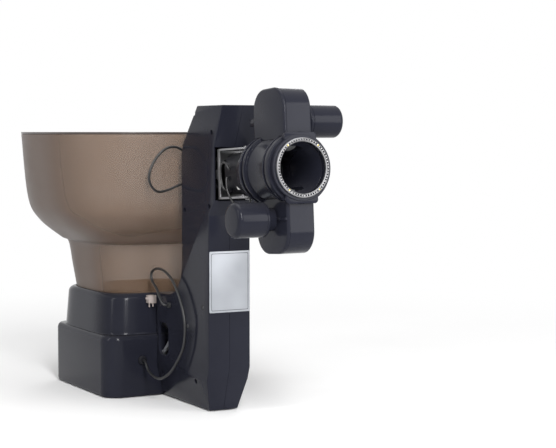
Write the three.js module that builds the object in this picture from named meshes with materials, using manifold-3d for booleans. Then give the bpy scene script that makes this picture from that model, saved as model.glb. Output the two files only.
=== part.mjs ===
// Table tennis robot: ball hopper, feed tub, front column and a two-wheel throwing head.
// Millimetres, +Z up. The head throws towards -Y, and the column halves meet on x = 0.
import * as THREE from 'three';
import { mergeVertices } from 'three/addons/utils/BufferGeometryUtils.js';
import Module from 'manifold-3d';

const wasm = await Module();
wasm.setup();

// Ball path
const ballBore = 21;
const ballTubeWall = 1.2;

// Fits and sizes that several pieces share
const seatGap = 0.3;
const runningGap = 0.4;
const overrun = 5;
const footPadHeight = 1.5;
const screwHeadRadius = 2.6;
const screwHeadHeight = 1.6;
const screwShankRadius = 1.4;

// Throwing axis, whose height the openings and the top of the column follow
const headAxisHeight = 264.4;
const crownAboveAxis = 74.4;
const shoulderAboveAxis = 32.6;
const hoodAboveAxis = 29.2;
const sillBelowAxis = 29.2;
const chinBelowAxis = 45.7;

// Column: two half shells, their side outline measured back from the front face
const toeSetback = 15;
const columnHalfWidth = 25.4;
const columnWall = 2.4;
const columnDepth = 69;
const toeHalfWidth = 17.5;
const toeRise = 36;
const kneeSetback = 5;
const kneeRise = 50;
const sillReach = 14;
const hoodBaseReach = 13;
const hoodLipReach = 33.6;
const crownSetback = 28;
const shoulderStep = 4;
const shoulderDrop = 12;
const flareTop = 168;
const flareLength = 46;
const flareBottom = 122.8;
const flareEndDrop = 0.6;
const seamGap = 0.3;
const bossRadius = 4;
const screwRecessDepth = 5;
const lugScrewRecess = 1;
const lugRadius = 5;
const portLength = 27;
const portHeight = 38;
const portBottom = 51;
const portInset = 5;
const portCornerRadius = 9;

// Label plate on the column's front
const labelHeight = 67.5;
const labelBelowChin = 39.2;
const labelHalfWidth = 24.9;
const labelThickness = 0.8;
const labelCornerRadius = 1.5;

// Feed duct and riser
const ductHeight = 97;
const riserSetback = 25.6;
const elbowRadius = 40;
const topElbowRadius = 28.6;
const riserJoint = 141;

// Base and tub, centred well behind the column
const baseLeastSetback = 227;
const baseHalf = 88.5;
const baseCorner = 21;
const baseWall = 2.6;
const baseHemHeight = 3;
const baseHemInset = 1;
const deckHeight = 73;
const deckFillet = 6;
const plateThickness = 2.4;
const plateBossRadius = 5;
const plateBossOffset = 64;
const padWidth = 8;
const toePadRadius = 9;
const toePadSetback = 38;
const tubFootHalf = 84.5;
const tubRimHalf = 81;
const tubFootCorner = 38;
const tubRimCorner = 38;
const tubTop = 121;
const tubRimRound = 1.8;
const tubWall = 2.6;
const funnelBore = 72;
const funnelStraight = 20;
const funnelTop = 106;

// Hopper bowl
const hopperWall = 2.2;
const hopperRimHeight = 310;
const hopperRimHalf = 141;
const hopperClearance = 17;
const hopperRimCorner = 108;
const hopperSideHeight = 232;
const hopperSideHalf = 133.8;
const hopperSideCorner = 100;
const hopperTurnHeight = 204;
const hopperTurnHalf = 120;
const hopperTurnCorner = 84;
const hopperKneeHeight = 182;
const hopperKneeHalf = 94;
const hopperKneeCorner = 60;
const hopperThroatHeight = 176;
const hopperThroatHalf = 85;
const hopperThroatCorner = 52;
const neckHalf = 76.8;
const neckCorner = 50;

// Agitator and its drive
const agitatorRadius = 66;
const agitatorHubRadius = 19;
const agitatorHubHeight = 20;
const hubCrown = 4;
const armHalfThickness = 3;
const armHeight = 12;
const armSweep = 16;
const armCount = 4;
const armBellyShare = 0.7;
const armHollowShare = 0.6;
const armTipTurn = [-0.6, 2.5];
const feedShaftRadius = 4;
const gearboxRadius = 19;
const gearboxHeight = 20;
const feedMotorRadius = 14;
const feedMotorHeight = 26;

// Electrics
const boardLength = 62;
const boardWidth = 44;
const boardThickness = 1.6;
const boardLift = 6;
const boardSide = 26;
const boardSetback = 40;
const standoffRadius = 3;
const panelHeight = 36;
const switchWidth = 14;
const switchHeight = 20;
const inletRadius = 6;
const inletBore = 2.8;
const inletPinRadius = 1;
const socketWidth = 14;
const socketHeight = 12;
const fittingDepth = 12;
const switchSide = -32;
const inletSide = 0;
const socketSide = 30;
const switchWall = 1.2;
const switchBezelProud = 1.6;
const switchTravelDegrees = 14;
const switchRootShare = 0.75;
const sinkHalf = 13;
const sinkBase = 2.4;
const sinkFin = 1.4;
const sinkHeight = 12;
const finShares = [-1, -0.5, 0, 0.5, 1];
const plugShankRadius = 3.2;
const leadSocketSide = -44.7;
const leadSocketHeight = 43.7;
const leadSocketRadius = 5;
const leadSocketLength = 4.2;
const portPlugSide = -17.5;
const portPlugHeight = 50;
const portPlugRadius = 4;
const sleeveRadius = 2.6;
const sleeveLength = 30;
const portPlugRun = 24;
const portPlugRise = 21;
const connectorSide = -31.5;
const connectorHeight = 114.5;
const connectorHalf = 4.6;
const connectorDepth = 9;
const connectorTongue = 2;
const clipWidth = 7;
const clipY = 62;
const clipZ = 70;
const bushShankRadius = 2.2;
const bushRadius = 3.2;
const bushProud = 2.4;

// Cables: where their bushes sit, then the points each one passes through
const upperBushPlaces = [[-14, 281], [-15, 252]];
const lowerBushPlace = [86, 111];
const cableDiameter = 3;
const leadDiameter = 2.4;
const lowerCablePoints = [
  [-44.7, 118.7, 43.7], [-44.7, 116, 43.7], [-45, 110.5, 40.5], [-45.4, 103, 33.8], [-45, 89.4, 29.3],
  [-43, 74.4, 28.8], [-39, 60.1, 36.2], [-36, 47.6, 48.9], [-33.5, 34.3, 67.9], [-33, 30, 85.7],
  [-33, 31.4, 101.3], [-33, 38.6, 116.3], [-33, 53.2, 134.1], [-33, 74.1, 147.6], [-33.5, 98, 152.4],
  [-34, 117, 147.5], [-34, 118, 138.5], [-34, 104, 128.5], [-34.8, 93, 118.5], [-33.6, 87.2, 112.4],
  [-31, 86, 111], [-28.4, 86, 111],
];
const upperCablePoints = [
  [-14, 57, 281], [-14, 59, 281], [-15.2, 61.8, 283.6], [-20, 62.4, 289.5], [-30, 62.4, 293.2],
  [-42, 62.4, 290.6], [-54.5, 62.2, 278.2], [-61.5, 62, 262], [-59, 62, 249.5], [-51, 61.8, 243.2],
  [-40, 61.8, 244.4], [-28, 61.8, 248.8], [-18, 61.4, 251.8], [-15, 59.2, 252], [-15, 57, 252],
];
const portCablePoints = [
  [-17.5, 98.3, 70], [-17.5, 96, 72], [-17.5, 90, 75.9], [-17.6, 82, 77.6], [-18.2, 74, 75.6],
  [-19, 68.4, 71.2], [-19.2, 65.2, 70], [-19.2, 62.3, 70],
];
const hubLeadPoints = [
  [-19.9, -19.5, -17.5], [-22.6, -19.5, -17.5], [-25.4, -18.3, -15.2], [-26.3, -16, -9.5], [-26.4, -14.6, -1.3],
  [-26.4, -15.8, 7.8], [-26.4, -21.7, 11.6], [-26.4, -28, 10], [-26, -31.1, 6.4], [-25, -31.5, 4.7], [-23.5, -31.5, 4.7],
];
const motorLeadPoints = [
  [-23.5, -26, -5], [-25, -26, -5], [-26, -26.8, -9.4], [-25.6, -27.7, -18], [-22.6, -30.4, -28.6],
  [-18.4, -34.5, -34.2], [-13, -40.5, -35], [-9, -44.8, -32.4], [-8, -45.5, -29.6], [-8, -45.5, -27.2],
];

// Head: reach runs forwards along the throw axis from the hinge datum, height across it
const headPitchDegrees = 4;
const headDatumReach = 17;
const tiltPinSetback = 9;
const tiltPinRadius = 2;
const sheetThickness = 2;
const bracketHalfHeight = 27;
const bracketHalfWidth = 22.6;
const bracketLip = 5;
const earRadius = 4.2;
const swingPinReach = 28;
const swingPinRadius = 2.5;
const bracketNoseRadius = 13;
const bracketFlangeStraight = 12;
const swingPinHead = 4.5;
const glandRadius = 2;
const hubRear = 5;
const hubRearRadius = 22.6;
const hubSwingRadius = 25.2;
const hubStep = 34;
const hubBodyRadius = 24.6;
const hubRing = 51;
const hubRingLength = 3;
const hubRingRadius = 26.8;
const spigotLength = 12;
const pinBossRadius = 5.6;
const neckDrumRadius = 28;
const drumShoulder = 67.5;
const drumShoulderLength = 6;
const drumGrooveDepth = 1;
const drumRadius = 34;
const drumWall = 2.6;
const flangeRadius = 37;
const rearFlange = 75.5;
const rearFlangeLength = 4;
const rearGroove = 4.5;
const frontFlangeRadius = 36.2;
const frontFlange = 124.5;
const frontFlangeLength = 2.6;
const frontGroove = 3;
const drumFront = 138;
const collarRadius = 33.4;
const collarLength = 1.4;
const muzzlePlateThickness = 4;
const muzzlePlateHalfWidth = 18.5;
const muzzlePlateHalfHeight = 36;
const muzzlePlateCorner = 4;
const plateChamfer = 0.6;
const dialRadius = 30.1;
const dialBore = 26.3;
const dialThickness = 3.2;
const dialChamfer = 0.9;

// Wheels, their housings and motors
const wheelReach = 105;
const upperWheelLift = 49.5;
const lowerWheelLift = 50.8;
const wheelRadius = 30.6;
const wheelHalfWidth = 8;
const tyreThickness = 5.5;
const tyreRound = 1.6;
const wheelRimThickness = 2.6;
const wheelHubRadius = 8;
const wheelWebThickness = 4;
const axleRadius = 2.5;
const slotClearance = 2;
const housingHalfLength = 33;
const housingHalfWidth = 15.8;
const housingWall = 2;
const upperHousingTop = 83;
const lowerHousingTop = 86.2;
const housingFoot = 24;
const housingCorner = 23;
const coverThickness = 3;
const coverChamfer = 1.1;
const upperMotorCoverRadius = 17.3;
const upperMotorCoverReach = 65;
const lowerMotorCoverRadius = 18;
const lowerMotorCoverReach = 62;
const motorNeckRadius = 12;
const motorNeckLength = 9;
const motorFillet = 5;
const motorRadius = 14.4;
const motorLength = 30;
const motorWall = 2;
const lugReach = 14;
const lugLift = 47;
const lugHeight = 8;
const ledgeThickness = 3;
const ledgeProud = 1.5;
const ledgeSetback = 38;

const frontY = -toeSetback;
const backY = frontY + columnDepth;
const baseSetback = Math.max(baseLeastSetback, columnDepth + hopperClearance + hopperRimHalf);
const baseY = frontY + baseSetback;
const plinthEnd = baseY - baseHalf - seatGap;
const riserY = frontY + riserSetback;
const columnTop = headAxisHeight + crownAboveAxis;
const shoulderHeight = headAxisHeight + shoulderAboveAxis;
const hoodBaseHeight = headAxisHeight + hoodAboveAxis;
const sillHeight = headAxisHeight - sillBelowAxis;
const chinHeight = headAxisHeight - chinBelowAxis;
const labelBottom = chinHeight - labelBelowChin - labelHeight;
const tubeRadius = ballBore + ballTubeWall;
const floorTop = deckHeight + seatGap + tubWall;
const pitch = THREE.MathUtils.degToRad(headPitchDegrees);

const vectors = (points) => points.map(([x, y]) => new THREE.Vector2(x, y));

// One closed solid from a geometry, with its faces turned outwards
function solid(geometry) {
  const bare = new THREE.BufferGeometry();
  bare.setAttribute('position', geometry.getAttribute('position').clone());
  if (geometry.index) bare.setIndex(geometry.index.clone());
  const merged = mergeVertices(bare, 1e-4);
  const position = merged.getAttribute('position');
  const corners = Array.from(merged.index.array);
  const [p, q, r] = [new THREE.Vector3(), new THREE.Vector3(), new THREE.Vector3()];
  const kept = [];
  let volume = 0;
  for (let i = 0; i < corners.length; i += 3) {
    const [a, b, c] = corners.slice(i, i + 3);
    if (a === b || b === c || c === a) continue;
    p.fromBufferAttribute(position, a);
    q.fromBufferAttribute(position, b);
    r.fromBufferAttribute(position, c);
    volume += p.dot(q.cross(r));
    kept.push(a, b, c);
  }
  if (volume < 0) {
    for (let i = 0; i < kept.length; i += 3) [kept[i + 1], kept[i + 2]] = [kept[i + 2], kept[i + 1]];
  }
  return new wasm.Manifold(new wasm.Mesh({
    numProp: 3,
    vertProperties: Float32Array.from(position.array),
    triVerts: Uint32Array.from(kept),
  }));
}

const join = (first, ...others) => others.reduce((sum, other) => sum.add(other), first);
const cut = (first, ...others) => others.reduce((rest, other) => rest.subtract(other), first);

// A solid as a three.js geometry
function geometryOf(body) {
  const mesh = body.getMesh();
  const position = new Float32Array(mesh.numVert * 3);
  for (let i = 0; i < mesh.numVert; i += 1) {
    for (let k = 0; k < 3; k += 1) position[3 * i + k] = mesh.vertProperties[mesh.numProp * i + k];
  }
  const geometry = new THREE.BufferGeometry();
  geometry.setAttribute('position', new THREE.BufferAttribute(position, 3));
  geometry.setIndex(Array.from(mesh.triVerts));
  geometry.computeVertexNormals();
  return geometry;
}

function pulled(outline, depth, { curveSegments = 6, chamfer = 0 } = {}) {
  const shape = outline instanceof THREE.Shape ? outline : new THREE.Shape(vectors(outline));
  const bevel = {
    bevelEnabled: chamfer > 0,
    bevelThickness: chamfer,
    bevelSize: chamfer,
    bevelOffset: -chamfer,
    bevelSegments: 1,
  };
  const geometry = new THREE.ExtrudeGeometry(shape, { depth: depth - 2 * chamfer, curveSegments, ...bevel });
  return geometry.translate(0, 0, chamfer);
}

// Outline in (y, z), pulled along X between two places
function alongX(outline, from, to, options) {
  const [x0, x1] = [Math.min(from, to), Math.max(from, to)];
  const axes = [new THREE.Vector3(0, 1, 0), new THREE.Vector3(0, 0, 1), new THREE.Vector3(1, 0, 0)];
  const turn = new THREE.Matrix4().makeBasis(...axes);
  return solid(pulled(outline, x1 - x0, options).applyMatrix4(turn).translate(x0, 0, 0));
}

// Outline in (x, z), pulled along Y between two places
function alongY(outline, y0, y1, options) {
  return solid(pulled(outline, y1 - y0, options).rotateX(Math.PI / 2).translate(0, y1, 0));
}

// Outline in (x, y), pulled along Z between two heights
function alongZ(outline, z0, z1, options) {
  return solid(pulled(outline, z1 - z0, options).translate(0, 0, z0));
}

function block([x0, x1], [y0, y1], [z0, z1]) {
  const geometry = new THREE.BoxGeometry(x1 - x0, y1 - y0, z1 - z0);
  return solid(geometry.translate((x0 + x1) / 2, (y0 + y1) / 2, (z0 + z1) / 2));
}

// Profile of (radius, height) turned about an upright axis at (x, y)
function turnedUpright(profile, x, y, segments = 20) {
  return solid(new THREE.LatheGeometry(vectors(profile), segments).rotateX(Math.PI / 2).translate(x, y, 0));
}

// Profile of (radius, reach) turned about a line along Y through (x, z), reach running towards -Y
function turnedForward(profile, x = 0, z = 0, segments = 24) {
  return solid(new THREE.LatheGeometry(vectors(profile), segments).rotateX(Math.PI).translate(x, 0, z));
}

// Profile of (radius, x) turned about a line along X through (y, z)
function turnedAcross(profile, y, z, segments = 18) {
  return solid(new THREE.LatheGeometry(vectors(profile), segments).rotateZ(-Math.PI / 2).translate(0, y, z));
}

const rod = (radius, from, to) => [[0, from], [radius, from], [radius, to], [0, to]];
const ring = (inner, outer, from, to) => [[inner, from], [outer, from], [outer, to], [inner, to], [inner, from]];

function roundedRect(x0, x1, y0, y1, radius) {
  const shape = new THREE.Shape();
  shape.absarc(x1 - radius, y0 + radius, radius, -Math.PI / 2, 0);
  shape.absarc(x1 - radius, y1 - radius, radius, 0, Math.PI / 2);
  shape.absarc(x0 + radius, y1 - radius, radius, Math.PI / 2, Math.PI);
  shape.absarc(x0 + radius, y0 + radius, radius, Math.PI, Math.PI * 1.5);
  return shape;
}

// Every edge of a closed outline moved inwards by one distance
function inset(points, distance) {
  const area = THREE.ShapeUtils.area(points);
  const ordered = area > 0 ? points : [...points].reverse();
  const count = ordered.length;
  return ordered.map((here, i) => {
    const before = here.clone().sub(ordered[(i + count - 1) % count]).normalize();
    const after = ordered[(i + 1) % count].clone().sub(here).normalize();
    const normal = new THREE.Vector2(-before.y - after.y, before.x + after.x).normalize();
    const spread = normal.x * -after.y + normal.y * after.x;
    return here.clone().addScaledVector(normal, distance / spread);
  });
}

// Skin through rings of equal count, closed by flat ends
function loft(rings) {
  const count = rings[0].length;
  const position = rings.flat().flatMap((v) => [v.x, v.y, v.z]);
  const index = [];
  for (let k = 0; k + 1 < rings.length; k += 1) {
    for (let i = 0; i < count; i += 1) {
      const [a, b] = [k * count + i, k * count + ((i + 1) % count)];
      index.push(a, b, b + count, a, b + count, a + count);
    }
  }
  const last = (rings.length - 1) * count;
  for (let i = 1; i + 1 < count; i += 1) index.push(0, i + 1, i, last, last + i, last + i + 1);
  const geometry = new THREE.BufferGeometry();
  geometry.setAttribute('position', new THREE.Float32BufferAttribute(position, 3));
  geometry.setIndex(index);
  return solid(geometry);
}

// Skin through rings of equal count whose last ring meets the first
function closedLoft(rings) {
  const count = rings[0].length;
  const position = rings.flat().flatMap((v) => [v.x, v.y, v.z]);
  const index = [];
  for (let k = 0; k < rings.length; k += 1) {
    const next = (k + 1) % rings.length;
    for (let i = 0; i < count; i += 1) {
      const j = (i + 1) % count;
      const [a, b, c, d] = [k * count + i, k * count + j, next * count + j, next * count + i];
      index.push(a, b, c, a, c, d);
    }
  }
  const geometry = new THREE.BufferGeometry();
  geometry.setAttribute('position', new THREE.Float32BufferAttribute(position, 3));
  geometry.setIndex(index);
  return solid(geometry);
}

// Rounded square around the base's upright axis
function squareRing(half, corner, z, cornerSteps = 4) {
  const points = [];
  const middle = half - corner;
  for (let quarter = 0; quarter < 4; quarter += 1) {
    for (let step = 0; step <= cornerSteps; step += 1) {
      const angle = (quarter + step / cornerSteps) * (Math.PI / 2);
      const side = quarter * (Math.PI / 2) + Math.PI / 4;
      const x = Math.sign(Math.cos(side)) * middle + corner * Math.cos(angle);
      const y = Math.sign(Math.sin(side)) * middle + corner * Math.sin(angle);
      points.push(new THREE.Vector3(x, baseY + y, z));
    }
  }
  return points;
}

// Rings of one radius round a centre line in the plane x = 0
function ringsAlong(stations, radius, sides = 18) {
  return stations.map(({ y, z, angle }) => {
    const normal = new THREE.Vector3(0, -Math.sin(angle), Math.cos(angle));
    return Array.from({ length: sides }, (_, i) => {
      const turn = (i / sides) * Math.PI * 2;
      const centre = new THREE.Vector3(radius * Math.cos(turn), y, z);
      return centre.addScaledVector(normal, radius * Math.sin(turn));
    });
  });
}

const ballTube = (stations) => closedLoft([
  ...ringsAlong(stations, tubeRadius), ...ringsAlong(stations, ballBore).reverse(),
]);

// Stations round a quarter bend, from one heading to the next
function bend(centreY, centreZ, radius, fromAngle, toAngle, steps = 5) {
  return Array.from({ length: steps + 1 }, (_, i) => {
    const heading = fromAngle + ((toAngle - fromAngle) * i) / steps;
    const side = Math.sign(toAngle - fromAngle);
    const y = centreY + side * radius * Math.sin(heading);
    const z = centreZ - side * radius * Math.cos(heading);
    return { y, z, angle: heading };
  });
}

const robot = new THREE.Group();
const head = new THREE.Group();
head.position.set(0, frontY - headDatumReach, headAxisHeight);
head.rotation.x = -pitch;
robot.add(head);

const finishes = {
  shell: { color: 0x26272b, roughness: 0.36, metalness: 0 },
  satin: { color: 0x2e2f33, roughness: 0.5, metalness: 0 },
  inner: { color: 0x37383c, roughness: 0.6, metalness: 0 },
  smoke: { color: 0x8d8680, roughness: 0.12, metalness: 0 },
  silver: { color: 0xd9dadd, roughness: 0.4, metalness: 0.1 },
  steel: { color: 0xb9bcc0, roughness: 0.3, metalness: 1 },
  rubber: { color: 0x1b1b1c, roughness: 0.85, metalness: 0 },
  tyre: { color: 0x8a8c8f, roughness: 0.9, metalness: 0 },
  board: { color: 0x1f5a38, roughness: 0.5, metalness: 0 },
  ivory: { color: 0xe6dfd2, roughness: 0.45, metalness: 0 },
  cable: { color: 0x151516, roughness: 0.55, metalness: 0 },
};

function add(name, body, finish, parent = robot) {
  const geometry = body instanceof THREE.BufferGeometry ? body : geometryOf(body);
  const mesh = new THREE.Mesh(geometry, new THREE.MeshStandardMaterial(finishes[finish]));
  mesh.name = name;
  parent.add(mesh);
  return mesh;
}

// Column shells

function columnOutline() {
  const shape = new THREE.Shape();
  shape.moveTo(frontY + toeSetback, footPadHeight);
  shape.lineTo(plinthEnd, footPadHeight);
  shape.lineTo(plinthEnd, flareBottom - flareEndDrop);
  shape.lineTo(backY + flareLength, flareBottom);
  shape.quadraticCurveTo(backY, flareBottom, backY, flareTop);
  shape.lineTo(backY, shoulderHeight - shoulderDrop);
  shape.lineTo(backY - shoulderStep, shoulderHeight);
  shape.lineTo(frontY + crownSetback, columnTop);
  shape.lineTo(frontY - hoodLipReach, columnTop);
  shape.lineTo(frontY - hoodBaseReach, hoodBaseHeight);
  shape.lineTo(frontY - sillReach, sillHeight);
  shape.lineTo(frontY, chinHeight);
  shape.lineTo(frontY, kneeRise);
  shape.lineTo(frontY + kneeSetback, toeRise);
  return shape.getPoints(5);
}

// One side of the column as a plain solid, its toe drawn in
function columnHalf(side, points, halfWidth, toeWidth, middle) {
  const body = alongX(new THREE.Shape(points), side * middle, side * halfWidth);
  const draw = [
    [side * halfWidth, toeRise],
    [side * toeWidth, footPadHeight],
    [side * toeWidth, footPadHeight - overrun],
    [side * (halfWidth + overrun), footPadHeight - overrun],
    [side * (halfWidth + overrun), toeRise],
  ];
  return cut(body, alongY(draw, frontY - overrun, plinthEnd + overrun));
}

// Places of the screws that pull the halves together, as (y, z)
const columnScrews = [
  [frontY - hoodBaseReach + 2 * bossRadius - columnWall, hoodBaseHeight + 4 * bossRadius],
  [frontY - bossRadius / 3, sillHeight - 1.5 * bossRadius],
  [backY - 2 * bossRadius, chinHeight + bossRadius],
  [frontY + crownSetback + 2 * bossRadius, columnTop - 2 * bossRadius],
  [frontY + toeSetback + 5 * bossRadius, toeRise - bossRadius],
  [plinthEnd - 3 * bossRadius, toeRise - 2 * bossRadius],
];
const lugScrews = [
  [frontY + riserSetback - 2 * lugRadius, ductHeight + 4 * lugRadius],
  [backY - 3 * lugRadius, ductHeight - lugRadius],
];

function portOutline() {
  const end = plinthEnd - portInset;
  return roundedRect(end - portLength, end, portBottom, portBottom + portHeight, portCornerRadius);
}

function columnShell(side) {
  const inner = columnHalfWidth - columnWall;
  const points = columnOutline();
  const outer = columnHalf(side, points, columnHalfWidth, toeHalfWidth, seamGap / 2);
  const hollow = columnHalf(side, inset(points, columnWall), inner, toeHalfWidth - columnWall, -overrun);
  const sides = [side * inner, -side * overrun].sort((a, b) => a - b);
  const mouth = block(sides, [frontY - hoodLipReach, frontY - hoodBaseReach + columnWall + 1.5 * seatGap],
    [sillHeight, hoodBaseHeight]);
  const plinthMouth = block(sides, [plinthEnd - 2 * columnWall, plinthEnd + overrun],
    [footPadHeight + columnWall, flareBottom - flareEndDrop - columnWall]);
  const wall = side * columnHalfWidth;
  let shell = cut(outer, hollow, mouth, plinthMouth);
  for (const [y, z] of columnScrews) {
    const post = turnedAcross(rod(bossRadius, side * (inner + columnWall / 2), (side * seamGap) / 2), y, z, 10);
    shell = join(shell, post.intersect(outer));
  }
  for (const [y, z] of columnScrews) {
    const shank = screwShankRadius + seatGap;
    shell = cut(shell, turnedAcross(rod(shank, side * -overrun, side * (inner - columnWall)), y, z, 8));
    if (side > 0) continue;
    const recess = rod(screwHeadRadius + seatGap, wall - overrun, wall + screwRecessDepth);
    shell = cut(shell, turnedAcross(recess, y, z, 10));
  }
  for (const [y, z] of side < 0 ? lugScrews : []) {
    const recess = rod(screwHeadRadius + seatGap, wall - overrun, wall + lugScrewRecess);
    const hole = rod(screwShankRadius + seatGap, wall - overrun, wall + columnWall + overrun);
    shell = cut(shell, turnedAcross(recess, y, z, 10), turnedAcross(hole, y, z, 8));
  }
  const pinY = head.position.y + tiltPinSetback * Math.cos(pitch);
  const pinZ = headAxisHeight - tiltPinSetback * Math.sin(pitch);
  const pinHole = rod(tiltPinRadius + seatGap, side * (inner - overrun), side * (columnHalfWidth - columnWall / 4));
  shell = cut(shell, turnedAcross(pinHole, pinY, pinZ, 10));
  if (side < 0) {
    const port = alongX(portOutline(), wall - overrun, wall + columnWall + seatGap);
    shell = cut(shell, port, ...bushHoles());
  }
  return shell;
}

function toePad() {
  return turnedUpright(rod(toePadRadius, 0, footPadHeight), 0, frontY + toePadSetback, 14);
}

function labelPlate() {
  const plate = roundedRect(-labelHalfWidth, labelHalfWidth, labelBottom, labelBottom + labelHeight,
    labelCornerRadius);
  return alongY(plate, frontY - labelThickness, frontY, { curveSegments: 3 });
}

// Feed duct and riser

function feedDuct() {
  const start = baseY - tubFootHalf - seatGap;
  const [forwards, upwards] = [Math.PI, Math.PI / 2];
  const stations = [
    { y: start, z: ductHeight, angle: forwards },
    ...bend(riserY + elbowRadius, ductHeight + elbowRadius, elbowRadius, forwards, upwards),
    { y: riserY, z: riserJoint - seatGap / 2, angle: upwards },
  ];
  let duct = ballTube(stations);
  const face = columnWall + seatGap - columnHalfWidth;
  for (const [y, z] of lugScrews) {
    const lug = turnedAcross(rod(lugRadius, face, face + 2 * ballTubeWall + lugRadius), y, z, 12);
    const hole = turnedAcross(rod(screwShankRadius + seatGap, face - overrun, face + ballTubeWall), y, z, 8);
    duct = cut(join(duct, cut(lug, loft(ringsAlong(stations, ballBore)))), hole);
  }
  return duct;
}

function riserTube() {
  const [forwards, upwards] = [Math.PI, Math.PI / 2];
  return ballTube([
    { y: riserY, z: riserJoint + seatGap / 2, angle: upwards },
    ...bend(riserY - topElbowRadius, headAxisHeight - topElbowRadius, topElbowRadius, upwards, forwards),
  ]);
}

// Base, tub and funnel

function baseHousing() {
  const inner = baseHalf - baseWall;
  const innerCorner = baseCorner - baseWall;
  const deckUnder = deckHeight - baseWall;
  const rings = [
    squareRing(inner - deckFillet, innerCorner, deckUnder),
    squareRing(inner, innerCorner, deckUnder - deckFillet + baseWall),
    squareRing(inner, innerCorner, footPadHeight),
    squareRing(baseHalf - baseHemInset, baseCorner - baseHemInset, footPadHeight),
    squareRing(baseHalf, baseCorner, footPadHeight + baseHemHeight),
  ];
  for (const step of [0, 1, 2, 3]) {
    const angle = (step / 3) * (Math.PI / 2);
    const drawIn = deckFillet * (1 - Math.cos(angle));
    rings.push(squareRing(baseHalf - drawIn, baseCorner - drawIn, deckHeight - deckFillet * (1 - Math.sin(angle))));
  }
  let housing = loft(rings);
  const bossFoot = footPadHeight + plateThickness + seatGap;
  for (const [x, y] of plateCorners()) {
    const boss = turnedUpright(rod(plateBossRadius, bossFoot, deckUnder + baseWall / 2), x, y, 10);
    const hole = turnedUpright(rod(screwShankRadius + seatGap, 0, bossFoot + 3 * plateBossRadius), x, y, 8);
    housing = cut(join(housing, boss), hole);
  }
  const shaftHole = rod(feedShaftRadius + runningGap, deckUnder - overrun, deckHeight + overrun);
  return cut(housing, turnedUpright(shaftHole, 0, baseY), ...rearHoles(), ...frontHoles());
}

function plateCorners() {
  const signs = [[1, 1], [-1, 1], [-1, -1], [1, -1]];
  return signs.map(([x, y]) => [x * plateBossOffset, baseY + y * plateBossOffset]);
}

function basePlate() {
  const half = baseHalf - baseWall - runningGap;
  const corner = baseCorner - baseWall;
  const top = footPadHeight + plateThickness;
  let plate = loft([squareRing(half, corner, footPadHeight), squareRing(half, corner, top)]);
  for (const [x, y] of plateCorners()) {
    const recess = rod(screwHeadRadius + seatGap, 0, footPadHeight + screwHeadHeight);
    const hole = rod(screwShankRadius + seatGap, 0, top + overrun);
    plate = cut(plate, turnedUpright(recess, x, y, 10), turnedUpright(hole, x, y, 8));
  }
  const ventLength = gearboxRadius;
  for (let row = -2; row <= 2; row += 1) {
    const y = baseY - boardSetback + row * 3 * plateThickness;
    plate = cut(plate, block([-ventLength, ventLength], [y, y + plateThickness], [0, top + overrun]));
  }
  for (const [x, y] of boardPosts()) {
    plate = join(plate, turnedUpright(rod(standoffRadius, footPadHeight, top + boardLift), x, y, 8));
  }
  return plate;
}

function baseFoot() {
  const outer = plateBossOffset - plateBossRadius;
  const inner = outer - padWidth;
  return closedLoft([
    squareRing(outer, baseCorner, 0), squareRing(outer, baseCorner, footPadHeight),
    squareRing(inner, baseCorner - padWidth, footPadHeight), squareRing(inner, baseCorner - padWidth, 0),
  ]);
}

function feedTub() {
  const foot = deckHeight + seatGap;
  const rings = [squareRing(tubFootHalf, tubFootCorner, foot)];
  for (const step of [0, 1, 2]) {
    const angle = (step / 2) * (Math.PI / 2);
    const drawIn = tubRimRound * (1 - Math.cos(angle));
    const z = tubTop - tubRimRound * (1 - Math.sin(angle));
    rings.push(squareRing(tubRimHalf - drawIn, tubRimCorner - drawIn, z));
  }
  const hollow = loft([
    squareRing(tubFootHalf - tubWall, tubFootCorner - tubWall, floorTop),
    squareRing(tubRimHalf - tubWall, tubRimCorner - tubWall, tubTop + overrun),
  ]);
  const [from, to] = [seatGap + neckHalf - baseY, tubFootHalf - baseY];
  const stub = turnedForward(rod(tubeRadius, from, to), 0, ductHeight);
  const shaftHole = turnedUpright(rod(feedShaftRadius + runningGap, foot - overrun, floorTop + overrun), 0, baseY);
  return cut(join(loft(rings), stub), hollow, shaftHole, tubMouth());
}

// The round way out of the tub, towards the column
function tubMouth() {
  const [from, to] = [-(baseY - funnelBore + ballBore), -(baseY - tubFootHalf - overrun)];
  return turnedForward(rod(ballBore, from, to), 0, ductHeight);
}

function feedFunnel() {
  const half = (z) => tubFootHalf - tubWall - runningGap
    - ((tubFootHalf - tubRimHalf) * (z - floorTop)) / (tubTop - floorTop);
  const foot = floorTop + seatGap;
  const outerCorner = tubFootCorner - tubWall;
  const neckIn = neckHalf - 2 * hopperWall;
  const rings = [
    squareRing(funnelBore, funnelBore - seatGap, foot),
    squareRing(funnelBore, funnelBore - seatGap, foot + funnelStraight),
    squareRing(neckIn, neckCorner - hopperWall, funnelTop),
    squareRing(half(funnelTop), outerCorner, funnelTop),
    squareRing(half(foot), outerCorner, foot),
  ];
  return cut(closedLoft(rings), tubMouth());
}

// Hopper

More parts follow.
